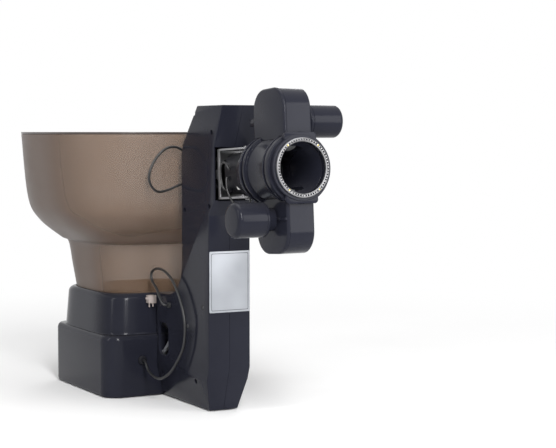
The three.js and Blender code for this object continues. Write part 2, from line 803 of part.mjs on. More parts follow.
function hopperBowl() {
  const sections = [
    [funnelTop + seatGap, neckHalf - hopperWall / 2, neckCorner],
    [tubTop, neckHalf, neckCorner],
    [(tubTop + hopperThroatHeight) / 2, (neckHalf + hopperThroatHalf) / 2, (neckCorner + hopperThroatCorner) / 2],
    [hopperThroatHeight, hopperThroatHalf, hopperThroatCorner],
    [hopperKneeHeight, hopperKneeHalf, hopperKneeCorner],
    [hopperTurnHeight, hopperTurnHalf, hopperTurnCorner],
    [hopperSideHeight, hopperSideHalf, hopperSideCorner],
    [hopperRimHeight, hopperRimHalf, hopperRimCorner],
  ];
  const place = (row, column) => new THREE.Vector2(row[column], row[0]);
  const curves = [1, 2].map((column) => new THREE.SplineCurve(sections.map((row) => place(row, column))));
  const steps = 12;
  const [outside, inside] = [[], []];
  for (let i = 0; i <= steps; i += 1) {
    const [half, corner] = curves.map((curve) => curve.getPoint(i / steps));
    const tangent = curves[0].getTangent(i / steps);
    const atRim = i === 0 || i === steps;
    const inwards = hopperWall * (atRim ? 1 : tangent.y);
    const upwards = hopperWall * (atRim ? 0 : tangent.x);
    outside.push(squareRing(half.x, corner.x, half.y, 5));
    inside.unshift(squareRing(half.x - inwards, corner.x - inwards, half.y + upwards, 5));
  }
  return cut(closedLoft([...outside, ...inside]), tubMouth());
}

// Agitator and its drive

function agitator() {
  const foot = floorTop + runningGap;
  let wheel = turnedUpright([
    [0, foot], [agitatorHubRadius, foot], [agitatorHubRadius, foot + armHeight],
    [agitatorHubRadius - hubCrown, foot + agitatorHubHeight], [0, foot + agitatorHubHeight],
  ], 0, baseY, 24);
  const root = agitatorHubRadius - armHalfThickness;
  const arm = new THREE.Shape();
  arm.moveTo(root, -armHalfThickness);
  const [belly, hollow] = [agitatorRadius * armBellyShare, agitatorRadius * armHollowShare];
  const tip = agitatorRadius - 2 * armHalfThickness;
  arm.quadraticCurveTo(belly, -armHalfThickness, agitatorRadius - armHalfThickness, armSweep);
  arm.absarc(tip, armSweep + armHalfThickness, armHalfThickness, ...armTipTurn, false);
  arm.quadraticCurveTo(hollow, armHalfThickness, root, armHalfThickness);
  for (let i = 0; i < armCount; i += 1) {
    const geometry = pulled(arm, armHeight, { curveSegments: 4 }).rotateZ((i / armCount) * Math.PI * 2 + Math.PI / 4);
    wheel = join(wheel, solid(geometry.translate(0, baseY, foot)));
  }
  const socket = rod(feedShaftRadius + seatGap, foot - overrun, foot + armHeight + seatGap);
  return cut(wheel, turnedUpright(socket, 0, baseY, 16));
}

function feedShaft() {
  const gearboxTop = deckHeight - baseWall - seatGap;
  return turnedUpright(rod(feedShaftRadius, gearboxTop + seatGap, floorTop + runningGap + armHeight), 0, baseY, 16);
}

function feedGearbox() {
  const top = deckHeight - baseWall - seatGap;
  const chamfer = coverChamfer;
  return turnedUpright([
    [0, top - gearboxHeight], [gearboxRadius - chamfer, top - gearboxHeight],
    [gearboxRadius, top - gearboxHeight + chamfer], [gearboxRadius, top - chamfer],
    [gearboxRadius - chamfer, top], [0, top],
  ], 0, baseY, 20);
}

function feedMotor() {
  const top = deckHeight - baseWall - gearboxHeight - 2 * seatGap;
  const foot = top - feedMotorHeight;
  const cap = feedMotorRadius / 2;
  return turnedUpright([
    [0, foot - plateThickness], [cap, foot - plateThickness], [cap, foot], [feedMotorRadius, foot],
    [feedMotorRadius, top], [0, top],
  ], 0, baseY, 20);
}

// Electrics

function boardPosts() {
  const [halfX, halfY] = [boardLength / 2 - standoffRadius, boardWidth / 2 - standoffRadius];
  const signs = [[1, 1], [-1, 1], [-1, -1], [1, -1]];
  return signs.map(([x, y]) => [boardSide + x * halfX, baseY + boardSetback + y * halfY]);
}

function controlBoard() {
  const foot = footPadHeight + plateThickness + boardLift + seatGap;
  const [x, y] = [boardSide, baseY + boardSetback];
  const outline = roundedRect(x - boardLength / 2, x + boardLength / 2, y - boardWidth / 2, y + boardWidth / 2,
    screwShankRadius);
  let board = alongZ(outline, foot, foot + boardThickness, { curveSegments: 2 });
  for (const [px, py] of boardPosts()) {
    board = cut(board, turnedUpright(rod(screwShankRadius, foot - overrun, foot + overrun), px, py, 8));
  }
  return board;
}

function boardHeatsink() {
  const foot = footPadHeight + plateThickness + boardLift + boardThickness + 2 * seatGap;
  const [x, y] = [boardSide, baseY + boardSetback];
  let sink = block([x - sinkHalf, x + sinkHalf], [y - sinkHalf, y + sinkHalf], [foot, foot + sinkBase]);
  for (const share of finShares) {
    const middle = y + share * (sinkHalf - sinkFin / 2);
    sink = join(sink, block([x - sinkHalf, x + sinkHalf], [middle - sinkFin / 2, middle + sinkFin / 2],
      [foot + sinkBase / 2, foot + sinkHeight]));
  }
  return sink;
}

const rearWallY = baseY + baseHalf;
const frontWallY = baseY - baseHalf;

function rearHoles() {
  const [y0, y1] = [rearWallY - baseWall - overrun, rearWallY + overrun];
  const [halfX, halfZ] = [switchWidth / 2 + switchWall + seatGap, switchHeight / 2 + switchWall + seatGap];
  const [socketX, socketZ] = [socketWidth / 2 + seatGap, socketHeight / 2 + seatGap];
  return [
    block([switchSide - halfX, switchSide + halfX], [y0, y1], [panelHeight - halfZ, panelHeight + halfZ]),
    turnedForward(rod(inletRadius + seatGap, -y1, -y0), inletSide, panelHeight, 16),
    block([socketSide - socketX, socketSide + socketX], [y0, y1], [panelHeight - socketZ, panelHeight + socketZ]),
  ];
}

function frontHoles() {
  const hole = rod(plugShankRadius + seatGap, -(frontWallY + baseWall + overrun), -(frontWallY - overrun));
  return [
    turnedForward(hole, leadSocketSide, leadSocketHeight, 10),
    turnedForward(hole, portPlugSide, portPlugHeight, 10),
  ];
}

// A rectangular frame in (x, z) between two places along Y
function frame(x, z, halfX, halfZ, wall, y0, y1) {
  const outer = block([x - halfX - wall, x + halfX + wall], [y0, y1], [z - halfZ - wall, z + halfZ + wall]);
  return cut(outer, block([x - halfX, x + halfX], [y0 - overrun, y1 + overrun], [z - halfZ, z + halfZ]));
}

function switchBezel() {
  const seat = rearWallY + seatGap;
  const [halfX, halfZ] = [switchWidth / 2, switchHeight / 2];
  return join(
    frame(switchSide, panelHeight, halfX, halfZ, switchWall, rearWallY - fittingDepth, seat + switchBezelProud),
    frame(switchSide, panelHeight, halfX, halfZ, 2 * switchWall + seatGap, seat, seat + switchBezelProud),
  );
}

const switchPivotY = rearWallY - switchHeight / 8;

function powerSwitch() {
  const half = switchHeight / 2 - 2 * runningGap;
  const proud = rearWallY + switchBezelProud - switchPivotY + seatGap;
  const outline = [
    [proud, half], [proud - switchBezelProud, 0], [proud, -half],
    [-switchHeight / 4, -half * switchRootShare], [-switchHeight / 4, half * switchRootShare],
  ];
  const turn = THREE.MathUtils.degToRad(switchTravelDegrees / 2);
  const [c, s] = [Math.cos(turn), Math.sin(turn)];
  const turned = outline.map(([y, z]) => [switchPivotY + c * y - s * z, panelHeight + s * y + c * z]);
  const halfX = switchWidth / 2 - runningGap;
  return alongX(turned, switchSide - halfX, switchSide + halfX);
}

function powerInlet() {
  const seat = rearWallY + seatGap;
  const flange = inletRadius + 2 * switchWall;
  const body = turnedForward([
    [inletBore, -(seat + switchBezelProud)], [flange, -(seat + switchBezelProud)], [flange, -seat],
    [inletRadius, -seat], [inletRadius, -(rearWallY - fittingDepth)], [0, -(rearWallY - fittingDepth)],
    [0, -(rearWallY - fittingDepth + switchWall)], [inletBore, -(rearWallY - fittingDepth + switchWall)],
    [inletBore, -(seat + switchBezelProud)],
  ], inletSide, panelHeight, 16);
  const pin = rod(inletPinRadius, -(rearWallY - seatGap), -(rearWallY - fittingDepth + switchWall / 2));
  return join(body, turnedForward(pin, inletSide, panelHeight, 8));
}

function controlSocket() {
  const seat = rearWallY + seatGap;
  const [halfX, halfZ] = [socketWidth / 2 - switchWall, socketHeight / 2 - switchWall];
  const back = rearWallY - fittingDepth;
  const plug = block([socketSide - halfX - switchWall / 2, socketSide + halfX + switchWall / 2],
    [back, back + switchWall], [panelHeight - halfZ - switchWall / 2, panelHeight + halfZ + switchWall / 2]);
  return join(
    frame(socketSide, panelHeight, halfX, halfZ, switchWall, back, seat + switchBezelProud),
    frame(socketSide, panelHeight, halfX, halfZ, 3 * switchWall, seat, seat + switchBezelProud),
    plug,
  );
}

function leadSocket() {
  const seat = -(frontWallY - seatGap);
  const end = seat + leadSocketLength;
  return turnedForward([
    [0, -(frontWallY + baseWall)], [plugShankRadius, -(frontWallY + baseWall)], [plugShankRadius, seat],
    [leadSocketRadius, seat], [leadSocketRadius, end - coverChamfer], [leadSocketRadius - coverChamfer, end], [0, end],
  ], leadSocketSide, leadSocketHeight, 14);
}

function portPlug() {
  const seat = -(frontWallY - seatGap);
  const barrel = turnedForward([
    [0, -(frontWallY + baseWall)], [plugShankRadius, -(frontWallY + baseWall)], [plugShankRadius, seat],
    [portPlugRadius, seat], [portPlugRadius, seat + leadSocketLength], [0, seat + leadSocketLength],
  ], portPlugSide, portPlugHeight, 12);
  const sleeve = new THREE.LatheGeometry(vectors(rod(sleeveRadius, 0, sleeveLength)), 10);
  sleeve.rotateX(Math.PI - portPlugLean).translate(portPlugSide, -seat - leadSocketLength / 2, portPlugHeight);
  return join(barrel, solid(sleeve));
}

const portPlugLean = Math.atan2(portPlugRise, portPlugRun);

function connectorBlock() {
  const share = (connectorHeight - connectorHalf - deckHeight) / (tubTop - deckHeight);
  const back = baseY - tubFootHalf + (tubFootHalf - tubRimHalf) * share - seatGap;
  const body = block([connectorSide - connectorHalf, connectorSide + connectorHalf], [back - connectorDepth, back],
    [connectorHeight - connectorHalf, connectorHeight + connectorHalf]);
  const tongue = block([connectorSide - connectorHalf - connectorTongue, connectorSide],
    [back - connectorDepth / 2, back - connectorDepth / 2 + connectorTongue],
    [connectorHeight, connectorHeight + connectorTongue]);
  const pins = [-1, 1].map((side) => turnedUpright(
    rod(inletPinRadius, connectorHeight - 2 * connectorHalf, connectorHeight),
    connectorSide + (side * connectorHalf) / 2, back - connectorDepth / 2, 8));
  return join(body, tongue, ...pins);
}

function cableClip() {
  const inner = columnWall + seatGap - columnHalfWidth;
  return block([inner, inner + clipWidth], [clipY - clipWidth, clipY], [clipZ - clipWidth / 2, clipZ + clipWidth / 2]);
}

// A bush through a wall: shank, flange and flat face for the cable
function bush(from, wall) {
  return [
    [0, from], [bushShankRadius, from], [bushShankRadius, from + wall + seatGap],
    [bushRadius, from + wall + seatGap], [bushRadius, from + wall + seatGap + bushProud],
    [0, from + wall + seatGap + bushProud],
  ];
}

function upperBush([x, z]) {
  const profile = bush(backY - columnWall, columnWall);
  return solid(new THREE.LatheGeometry(vectors(profile), 10).translate(x, 0, z));
}

function lowerBush([y, z]) {
  const profile = bush(columnHalfWidth - columnWall, columnWall);
  return solid(new THREE.LatheGeometry(vectors(profile), 10).rotateZ(Math.PI / 2).translate(0, y, z));
}

function bushHoles() {
  const hole = rod(bushShankRadius + seatGap, backY - columnWall - overrun, backY + overrun);
  const upper = upperBushPlaces.map(([x, z]) =>
    solid(new THREE.LatheGeometry(vectors(hole), 10).translate(x, 0, z)));
  const side = rod(bushShankRadius + seatGap, -columnHalfWidth - overrun, columnWall + overrun - columnHalfWidth);
  const [y, z] = lowerBushPlace;
  return [...upper, turnedAcross(side, y, z, 10)];
}

// A round cable through its points
function cable(points, diameter) {
  const path = new THREE.CatmullRomCurve3(points.map((p) => new THREE.Vector3(...p)), false, 'centripetal');
  const steps = Math.round(path.getLength() / (3 * diameter));
  const outline = Array.from({ length: 8 }, (_, i) => {
    const turn = (i / 8) * Math.PI * 2;
    return new THREE.Vector2((Math.cos(turn) * diameter) / 2, (Math.sin(turn) * diameter) / 2);
  });
  const options = { steps, bevelEnabled: false, extrudePath: path };
  return solid(new THREE.ExtrudeGeometry(new THREE.Shape(outline), options));
}

// Tilt bracket, in the head's own frame

function tiltBracket() {
  const [w, h] = [bracketHalfWidth, bracketHalfHeight];
  const web = alongY(roundedRect(-w, w, -h, h, sheetThickness), -sheetThickness, 0, { curveSegments: 1 });
  const ballHole = turnedForward(rod(ballBore, -overrun, sheetThickness + overrun));
  const lean = Math.atan2(swingPinReach - bracketFlangeStraight, w);
  const chord = Math.hypot(swingPinReach - bracketFlangeStraight, w);
  const meet = lean - Math.acos(bracketNoseRadius / chord);
  const flange = new THREE.Shape();
  flange.moveTo(-w, 0);
  flange.lineTo(-w, -bracketFlangeStraight);
  flange.absarc(0, -swingPinReach, bracketNoseRadius, Math.PI - meet, Math.PI * 2 + meet, false);
  flange.lineTo(w, -bracketFlangeStraight);
  flange.lineTo(w, 0);
  const pinHole = rod(swingPinRadius + seatGap, -h - overrun, h + overrun);
  const flanges = [[h - sheetThickness, h], [-h, sheetThickness - h]].map(([z0, z1]) =>
    alongZ(flange, z0, z1, { curveSegments: 10 }));
  const lips = [-1, 1].map((side) =>
    block([w - sheetThickness, w].map((x) => side * x).sort((a, b) => a - b), [-bracketLip, 0], [-h, h]));
  const ear = new THREE.Shape();
  ear.moveTo(-bracketLip, -earRadius - sheetThickness);
  ear.lineTo(tiltPinSetback, -earRadius);
  ear.absarc(tiltPinSetback, 0, earRadius, -Math.PI / 2, Math.PI / 2, false);
  ear.lineTo(-bracketLip, earRadius + sheetThickness);
  const ears = [-1, 1].map((side) => alongX(ear, side * (w - sheetThickness), side * w, { curveSegments: 6 }));
  const earHole = turnedAcross(rod(tiltPinRadius + seatGap, -w - overrun, w + overrun), tiltPinSetback, 0, 10);
  const plate = join(cut(web, ballHole), ...flanges, ...lips, ...ears);
  return cut(plate, turnedUpright(pinHole, 0, -swingPinReach, 12), earHole);
}

function tiltPin(side) {
  const [inner, outer] = [bracketHalfWidth - sheetThickness, columnHalfWidth - columnWall / 4 - seatGap];
  return turnedAcross(rod(tiltPinRadius, side * inner, side * outer), tiltPinSetback, 0, 10);
}

function swingPin(side) {
  const foot = ballBore + 2 * runningGap;
  const seat = bracketHalfHeight + seatGap;
  const profile = [
    [0, foot], [swingPinRadius, foot], [swingPinRadius, seat], [swingPinHead, seat],
    [swingPinHead, seat + screwHeadHeight - seatGap], [swingPinHead - seatGap, seat + screwHeadHeight],
    [0, seat + screwHeadHeight],
  ];
  return turnedUpright(profile.map(([radius, z]) => [radius, side * z]), 0, -swingPinReach, 12);
}

// Hub that swings in the bracket

function hubTube() {
  const spigotEnd = hubRing + hubRingLength + spigotLength;
  let hub = turnedForward([
    [0, hubRear], [hubRearRadius, hubRear], [hubRearRadius, hubStep], [hubBodyRadius, hubStep],
    [hubBodyRadius, hubRing], [hubRingRadius, hubRing], [hubRingRadius, hubRing + hubRingLength],
    [hubRearRadius, hubRing + hubRingLength], [hubRearRadius, spigotEnd], [0, spigotEnd],
  ]);
  const reach = hubRingRadius + overrun;
  const sweep = turnedUpright(rod(hubSwingRadius, -reach, reach), 0, -swingPinReach, 32);
  hub = cut(hub, cut(block([-reach, reach], [-swingPinReach, 0], [-reach, reach]), sweep));
  const bossTop = bracketHalfHeight - sheetThickness - runningGap;
  for (const side of [-1, 1]) {
    hub = join(hub, turnedUpright(rod(pinBossRadius, 0, side * bossTop), 0, -swingPinReach, 12));
  }
  for (const [points, axis] of [[hubLeadPoints, 'x'], [motorLeadPoints, 'z']]) hub = join(hub, ...glands(points, axis));
  hub = cut(hub, turnedForward(rod(ballBore, 0, spigotEnd + overrun)));
  const pinHole = rod(swingPinRadius + seatGap, ballBore + runningGap, bossTop + overrun);
  const lowerHole = pinHole.map(([radius, z]) => [radius, -z]);
  return cut(hub, turnedUpright(pinHole, 0, -swingPinReach, 12), turnedUpright(lowerHole, 0, -swingPinReach, 12));
}

// Short stubs on the hub that the leads run into
function glands(points, axis) {
  const [first, last] = [points[0], points[points.length - 1]];
  const across = ([x, y, z]) => turnedAcross(rod(glandRadius, x + seatGap, x + seatGap + 2 * glandRadius), y, z, 8);
  const upright = ([x, y, z]) => turnedUpright(rod(glandRadius, z + seatGap, z + seatGap + 2 * glandRadius), x, y, 8);
  return [across(first), axis === 'x' ? across(last) : upright(last)];
}

// Drum that turns on the hub

const drumOutline = [
  [neckDrumRadius, hubRing + hubRingLength + runningGap], [neckDrumRadius, drumShoulder],
  [drumRadius, drumShoulder + drumShoulderLength], [drumRadius, rearFlange], [flangeRadius, rearFlange],
  [flangeRadius, rearFlange + rearFlangeLength], [drumRadius - drumGrooveDepth, rearFlange + rearFlangeLength],
  [drumRadius - drumGrooveDepth, rearFlange + rearFlangeLength + rearGroove],
  [flangeRadius, rearFlange + rearFlangeLength + rearGroove],
  [flangeRadius, rearFlange + 2 * rearFlangeLength + rearGroove],
  [drumRadius, rearFlange + 2 * rearFlangeLength + rearGroove], [drumRadius, frontFlange],
  [frontFlangeRadius, frontFlange], [frontFlangeRadius, frontFlange + frontFlangeLength],
  [drumRadius - drumGrooveDepth, frontFlange + frontFlangeLength],
  [drumRadius - drumGrooveDepth, frontFlange + frontFlangeLength + frontGroove],
  [frontFlangeRadius, frontFlange + frontFlangeLength + frontGroove], [frontFlangeRadius, drumFront],
];

function headDrum() {
  const [first, last] = [drumOutline[0], drumOutline[drumOutline.length - 1]];
  const body = turnedForward([[0, first[1]], ...drumOutline, [0, last[1]]], 0, 0, 24);
  const inner = drumRadius - drumWall;
  const core = ballBore + drumWall;
  const cavityRear = drumShoulder + drumShoulderLength;
  const cavityFront = frontFlange + frontFlangeLength;
  const cavity = turnedForward(ring(core, inner - drumGrooveDepth + seatGap, cavityRear, cavityFront), 0, 0, 20);
  const wider = turnedForward(ring(core, inner, rearFlange + 3 * rearFlangeLength, frontFlange), 0, 0, 20);
  const spigotSeat = hubRing + hubRingLength + spigotLength + runningGap;
  const bore = turnedForward([
    [0, first[1] - overrun], [hubRearRadius + runningGap, first[1] - overrun],
    [hubRearRadius + runningGap, spigotSeat], [ballBore, spigotSeat], [ballBore, frontFlange],
    [dialBore, last[1]], [dialBore, last[1] + overrun], [0, last[1] + overrun],
  ]);
  const slotHalf = wheelHalfWidth + slotClearance;
  const slotReach = Math.sqrt(wheelRadius ** 2 - (upperWheelLift - core) ** 2) + 2 * slotClearance;
  const outerSlot = Math.sqrt(wheelRadius ** 2 - (upperWheelLift - drumRadius) ** 2) + slotClearance;
  const slots = [-1, 1].flatMap((side) => [[slotReach, ballBore - slotHalf / 2, core], [outerSlot, core, flangeRadius]]
    .map(([halfReach, from, to]) => block([-slotHalf, slotHalf], [-wheelReach - halfReach, -wheelReach + halfReach],
      [side * from, side * to].sort((a, b) => a - b))));
  return cut(body, cavity, wider, bore, ...slots);
}

function muzzlePlate() {
  const [w, h] = [muzzlePlateHalfWidth, muzzlePlateHalfHeight];
  const from = drumFront + seatGap;
  const plate = alongY(roundedRect(-w, w, -h, h, muzzlePlateCorner), -from - muzzlePlateThickness, -from,
    { curveSegments: 2, chamfer: plateChamfer });
  const collar = turnedForward([
    [0, from], [collarRadius, from], [collarRadius, from + muzzlePlateThickness + collarLength - plateChamfer],
    [collarRadius - plateChamfer, from + muzzlePlateThickness + collarLength],
    [0, from + muzzlePlateThickness + collarLength],
  ], 0, 0, 28);
  return cut(join(plate, collar), turnedForward(rod(dialBore, from - overrun, from + 3 * overrun)));
}

function dialRing() {
  const from = drumFront + 2 * seatGap + muzzlePlateThickness + collarLength;
  const to = from + dialThickness;
  return turnedForward([
    [dialBore, from], [dialRadius, from], [dialRadius, to - dialChamfer], [dialRadius - dialChamfer, to],
    [dialBore + dialChamfer, to], [dialBore, to - dialChamfer], [dialBore, from],
  ], 0, 0, 28);
}

// Wheel housings, one above and one below the drum

const coverInner = housingHalfWidth - coverThickness;

// Height of a wheel's axle above the throwing axis
const wheelHeight = (side) => (side > 0 ? upperWheelLift : -lowerWheelLift);

// Outline in (y, z) of a housing on one side of the drum
function housingOutline(side, edge) {
  const yRear = housingHalfLength - edge - wheelReach;
  const yFront = edge - housingHalfLength - wheelReach;
  const top = (side > 0 ? upperHousingTop : lowerHousingTop) - edge;
  const corner = housingCorner - edge;
  const foot = edge > 0 ? ballBore : housingFoot;
  const shape = new THREE.Shape();
  shape.moveTo(yFront, side * foot);
  shape.lineTo(yRear, side * foot);
  shape.lineTo(yRear, side * (top - corner));
  const [from, to] = side > 0 ? [0, Math.PI / 2] : [0, -Math.PI / 2];
  shape.absarc(yRear - corner, side * (top - corner), corner, from, to, side < 0);
  shape.absarc(yFront + corner, side * (top - corner), corner, to, 2 * to, side < 0);
  return shape;
}

// The drum with a gap around it, for cutting what sits on it
function drumEnvelope(gap) {
  const first = drumOutline[0][1] - gap;
  const grown = drumOutline.map(([radius, reach]) => [radius + gap, reach]);
  const from = rearFlange - gap;
  const to = rearFlange + 2 * rearFlangeLength + rearGroove + gap;
  const front = frontFlange - gap;
  return turnedForward([
    [0, first], [grown[0][0], first], [grown[0][0], drumShoulder - gap],
    [drumRadius + gap, drumShoulder + drumShoulderLength - gap], [drumRadius + gap, from], [flangeRadius + gap, from],
    [flangeRadius + gap, to], [drumRadius + gap, to], [drumRadius + gap, front],
    [frontFlangeRadius + gap, front], [frontFlangeRadius + gap, drumFront + gap], [0, drumFront + gap],
  ], 0, 0, 28);
}


function wheelHousing(side, motorSide) {
  const body = alongX(housingOutline(side, 0), seatGap - coverInner, housingHalfWidth,
    { curveSegments: 8 });
  const hollow = alongX(housingOutline(side, housingWall), -coverInner - overrun, housingHalfWidth - housingWall,
    { curveSegments: 8 });
  let housing = cut(body, hollow, drumEnvelope(seatGap));
  if (motorSide > 0) {
    const hole = rod(motorNeckRadius - switchWall, coverInner - overrun, housingHalfWidth + overrun);
    housing = cut(housing, turnedAcross(hole, -wheelReach, wheelHeight(side)));
  }
  if (side > 0) {
    const rear = -(wheelReach - housingHalfLength);
    const lug = block([seatGap - coverInner, -coverInner / 4], [rear - coverThickness / 2, rear + lugReach],
      [lugLift, lugLift + lugHeight]);
    housing = join(housing, cut(lug, hollow));
  }
  return housing;
}

function wheelCover(side, motorSide) {
  let cover = alongX(housingOutline(side, 0), -housingHalfWidth, -coverInner,
    { curveSegments: 8, chamfer: coverChamfer });
  cover = cut(cover, drumEnvelope(seatGap));
  if (motorSide < 0) {
    const hole = rod(motorNeckRadius - switchWall, coverInner - overrun, housingHalfWidth + overrun);
    cover = cut(cover, turnedAcross(hole.map(([r, x]) => [r, -x]), -wheelReach, wheelHeight(side)));
    const start = -wheelReach - motorNeckRadius - switchWall;
    const ledge = block([-housingHalfWidth - ledgeProud, -housingHalfWidth + coverChamfer],
      [-wheelReach - housingHalfLength + coverChamfer, start],
      [wheelHeight(side) - ledgeThickness / 2, wheelHeight(side) + ledgeThickness / 2]);
    cover = join(cover, ledge);
  }
  return cover;
}

function motorCover(side, motorSide) {
  const neck = motorNeckRadius;
  const can = side > 0 ? upperMotorCoverRadius : lowerMotorCoverRadius;
  const end = side > 0 ? upperMotorCoverReach : lowerMotorCoverReach;
  const start = housingHalfWidth + seatGap;
  const shoulder = start + motorNeckLength;
  const profile = [
    [0, end - motorWall], [can - motorFillet, end - motorWall], [can - motorWall, end - motorFillet],
    [can - motorWall, shoulder + motorWall], [neck - motorWall, shoulder + motorWall], [neck - motorWall, start],
    [neck, start], [neck, shoulder], [can - motorWall, shoulder], [can, shoulder + motorWall],
  ];
  for (let i = 0; i <= 3; i += 1) {
    const angle = (i / 3) * (Math.PI / 2);
    profile.push([can - motorFillet * (1 - Math.cos(angle)), end - motorFillet * (1 - Math.sin(angle))]);
  }
  profile.push([0, end]);
  return turnedAcross(profile.map(([r, x]) => [r, motorSide * x]), -wheelReach, wheelHeight(side), 20);
}

function driveMotor(side, motorSide) {
  const start = housingHalfWidth + motorNeckLength + motorWall + 2 * seatGap;
  const body = [[0, start], [motorRadius, start], [motorRadius, start + motorLength], [0, start + motorLength]];
  return turnedAcross(body.map(([r, x]) => [r, motorSide * x]), -wheelReach, wheelHeight(side));
}

// Wheels, each centred on its own axle

function wheelCore(side) {
  const [hub, web, rim] = [wheelHubRadius, wheelWebThickness / 2, wheelRadius - tyreThickness];
  const half = wheelHalfWidth;
  const bore = axleRadius + seatGap;
  return turnedAcross([
    [bore, -half], [hub, -half], [hub, -web], [rim - wheelRimThickness, -web],
    [rim - wheelRimThickness, seatGap - half], [rim, seatGap - half], [rim, half - seatGap],
    [rim - wheelRimThickness, half - seatGap], [rim - wheelRimThickness, web], [hub, web], [hub, half],
    [bore, half], [bore, -half],
  ], -wheelReach, wheelHeight(side), 18);
}

function wheelTyre(side) {
  const inner = wheelRadius - tyreThickness + seatGap;
  const [outer, half, round] = [wheelRadius, wheelHalfWidth, tyreRound];
  return turnedAcross([
    [inner, -half], [outer - round, -half], [outer, round - half], [outer, half - round], [outer - round, half],
    [inner, half], [inner, -half],
  ], -wheelReach, wheelHeight(side), 24);
}

function wheelAxle(side, motorSide) {
  const end = housingHalfWidth + motorNeckLength + motorWall + seatGap;
  return turnedAcross(rod(axleRadius, -motorSide * (wheelHalfWidth + seatGap), motorSide * end),
    -wheelReach, wheelHeight(side), 10);
}

add('column_shell_right', columnShell(-1), 'shell');
add('column_shell_left', columnShell(1), 'shell');
add('toe_pad', toePad(), 'rubber');
add('label_plate', labelPlate(), 'silver');
add('feed_duct', feedDuct(), 'inner');
add('riser_tube', riserTube(), 'inner');
add('base_housing', baseHousing(), 'shell');
add('base_plate', basePlate(), 'inner');
add('base_foot', baseFoot(), 'rubber');
add('feed_tub', feedTub(), 'shell');
add('feed_funnel', feedFunnel(), 'inner');
add('hopper_bowl', hopperBowl(), 'smoke');
add('agitator', agitator(), 'inner');
add('feed_shaft', feedShaft(), 'steel');
add('feed_gearbox', feedGearbox(), 'steel');
add('feed_motor', feedMotor(), 'steel');
add('control_board', controlBoard(), 'board');
add('board_heatsink', boardHeatsink(), 'steel');
add('switch_bezel', switchBezel(), 'satin');
add('power_switch', powerSwitch(), 'satin');
add('power_inlet', powerInlet(), 'satin');
add('control_socket', controlSocket(), 'satin');
add('lead_socket', leadSocket(), 'satin');
add('port_plug', portPlug(), 'inner');
add('connector_block', connectorBlock(), 'ivory');
add('cable_clip', cableClip(), 'inner');
add('upper_bush_in', upperBush(upperBushPlaces[0]), 'rubber');
add('upper_bush_out', upperBush(upperBushPlaces[1]), 'rubber');
add('lower_bush', lowerBush(lowerBushPlace), 'rubber');
add('lower_cable', cable(lowerCablePoints, cableDiameter), 'cable');
add('upper_cable', cable(upperCablePoints, cableDiameter), 'cable');
add('port_cable', cable(portCablePoints, cableDiameter), 'cable');
add('tilt_bracket', tiltBracket(), 'steel', head);
add('tilt_pin_right', tiltPin(-1), 'steel', head);
add('tilt_pin_left', tiltPin(1), 'steel', head);
add('upper_swing_pin', swingPin(1), 'steel', head);
add('lower_swing_pin', swingPin(-1), 'steel', head);
add('hub_tube', hubTube(), 'satin', head);
add('hub_lead', cable(hubLeadPoints, leadDiameter), 'cable', head);
add('motor_lead', cable(motorLeadPoints, leadDiameter), 'cable', head);
add('head_drum', headDrum(), 'shell', head);
add('muzzle_plate', muzzlePlate(), 'shell', head);
add('dial_ring', dialRing(), 'silver', head);
for (const [name, side, motorSide] of [['upper', 1, 1], ['lower', -1, -1]]) {
  add(`${name}_wheel_housing`, wheelHousing(side, motorSide), 'shell', head);
  add(`${name}_wheel_cover`, wheelCover(side, motorSide), 'shell', head);
  add(`${name}_motor_cover`, motorCover(side, motorSide), 'shell', head);
  add(`${name}_motor`, driveMotor(side, motorSide), 'steel', head);
  add(`${name}_wheel`, wheelCore(side), 'satin', head);
  add(`${name}_tyre`, wheelTyre(side), 'tyre', head);
  add(`${name}_axle`, wheelAxle(side, motorSide), 'steel', head);
}

// The finished robot stands with its middle over the origin
robot.updateMatrixWorld(true);
const extent = new THREE.Box3().setFromObject(robot, true);
robot.position.y = -(extent.min.y + extent.max.y) / 2;
robot.position.x = -(extent.min.x + extent.max.x) / 2;
robot.updateMatrixWorld(true);

export default robot;
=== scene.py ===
# Table tennis robot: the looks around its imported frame. Metres, +Z up, the head throws towards -Y.
import math

import bmesh
import bpy
from mathutils import Matrix, Vector


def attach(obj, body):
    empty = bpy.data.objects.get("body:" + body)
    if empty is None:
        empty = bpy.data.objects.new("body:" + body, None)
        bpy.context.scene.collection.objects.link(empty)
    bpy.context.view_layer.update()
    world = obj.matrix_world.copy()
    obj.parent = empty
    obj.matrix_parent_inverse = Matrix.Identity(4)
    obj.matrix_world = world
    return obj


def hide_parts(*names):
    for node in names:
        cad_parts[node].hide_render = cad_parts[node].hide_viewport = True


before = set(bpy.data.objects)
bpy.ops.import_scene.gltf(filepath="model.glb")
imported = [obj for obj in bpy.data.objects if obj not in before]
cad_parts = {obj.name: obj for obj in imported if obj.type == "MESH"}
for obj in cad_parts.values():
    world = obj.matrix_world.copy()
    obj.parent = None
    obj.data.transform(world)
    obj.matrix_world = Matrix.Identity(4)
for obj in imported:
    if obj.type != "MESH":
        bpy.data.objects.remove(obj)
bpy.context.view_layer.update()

mm = 0.001
shiftY = -86.06084287976466  # the frame's middle, measured from the column's front drawing line
scene = bpy.context.scene


def place(x, y, z):
    # A drawing point in millimetres as a point of the frame
    return Vector((x * mm, (y + shiftY) * mm, z * mm))


def moved(point):
    return Matrix.Translation(Vector(point) * mm)


def spun(degrees, axis):
    return Matrix.Rotation(math.radians(degrees), 4, axis)


standFrame = Matrix.Translation(place(0, 0, 0))
headFrame = Matrix.Translation(place(0, -32, 264.4)) @ spun(-4, "X")
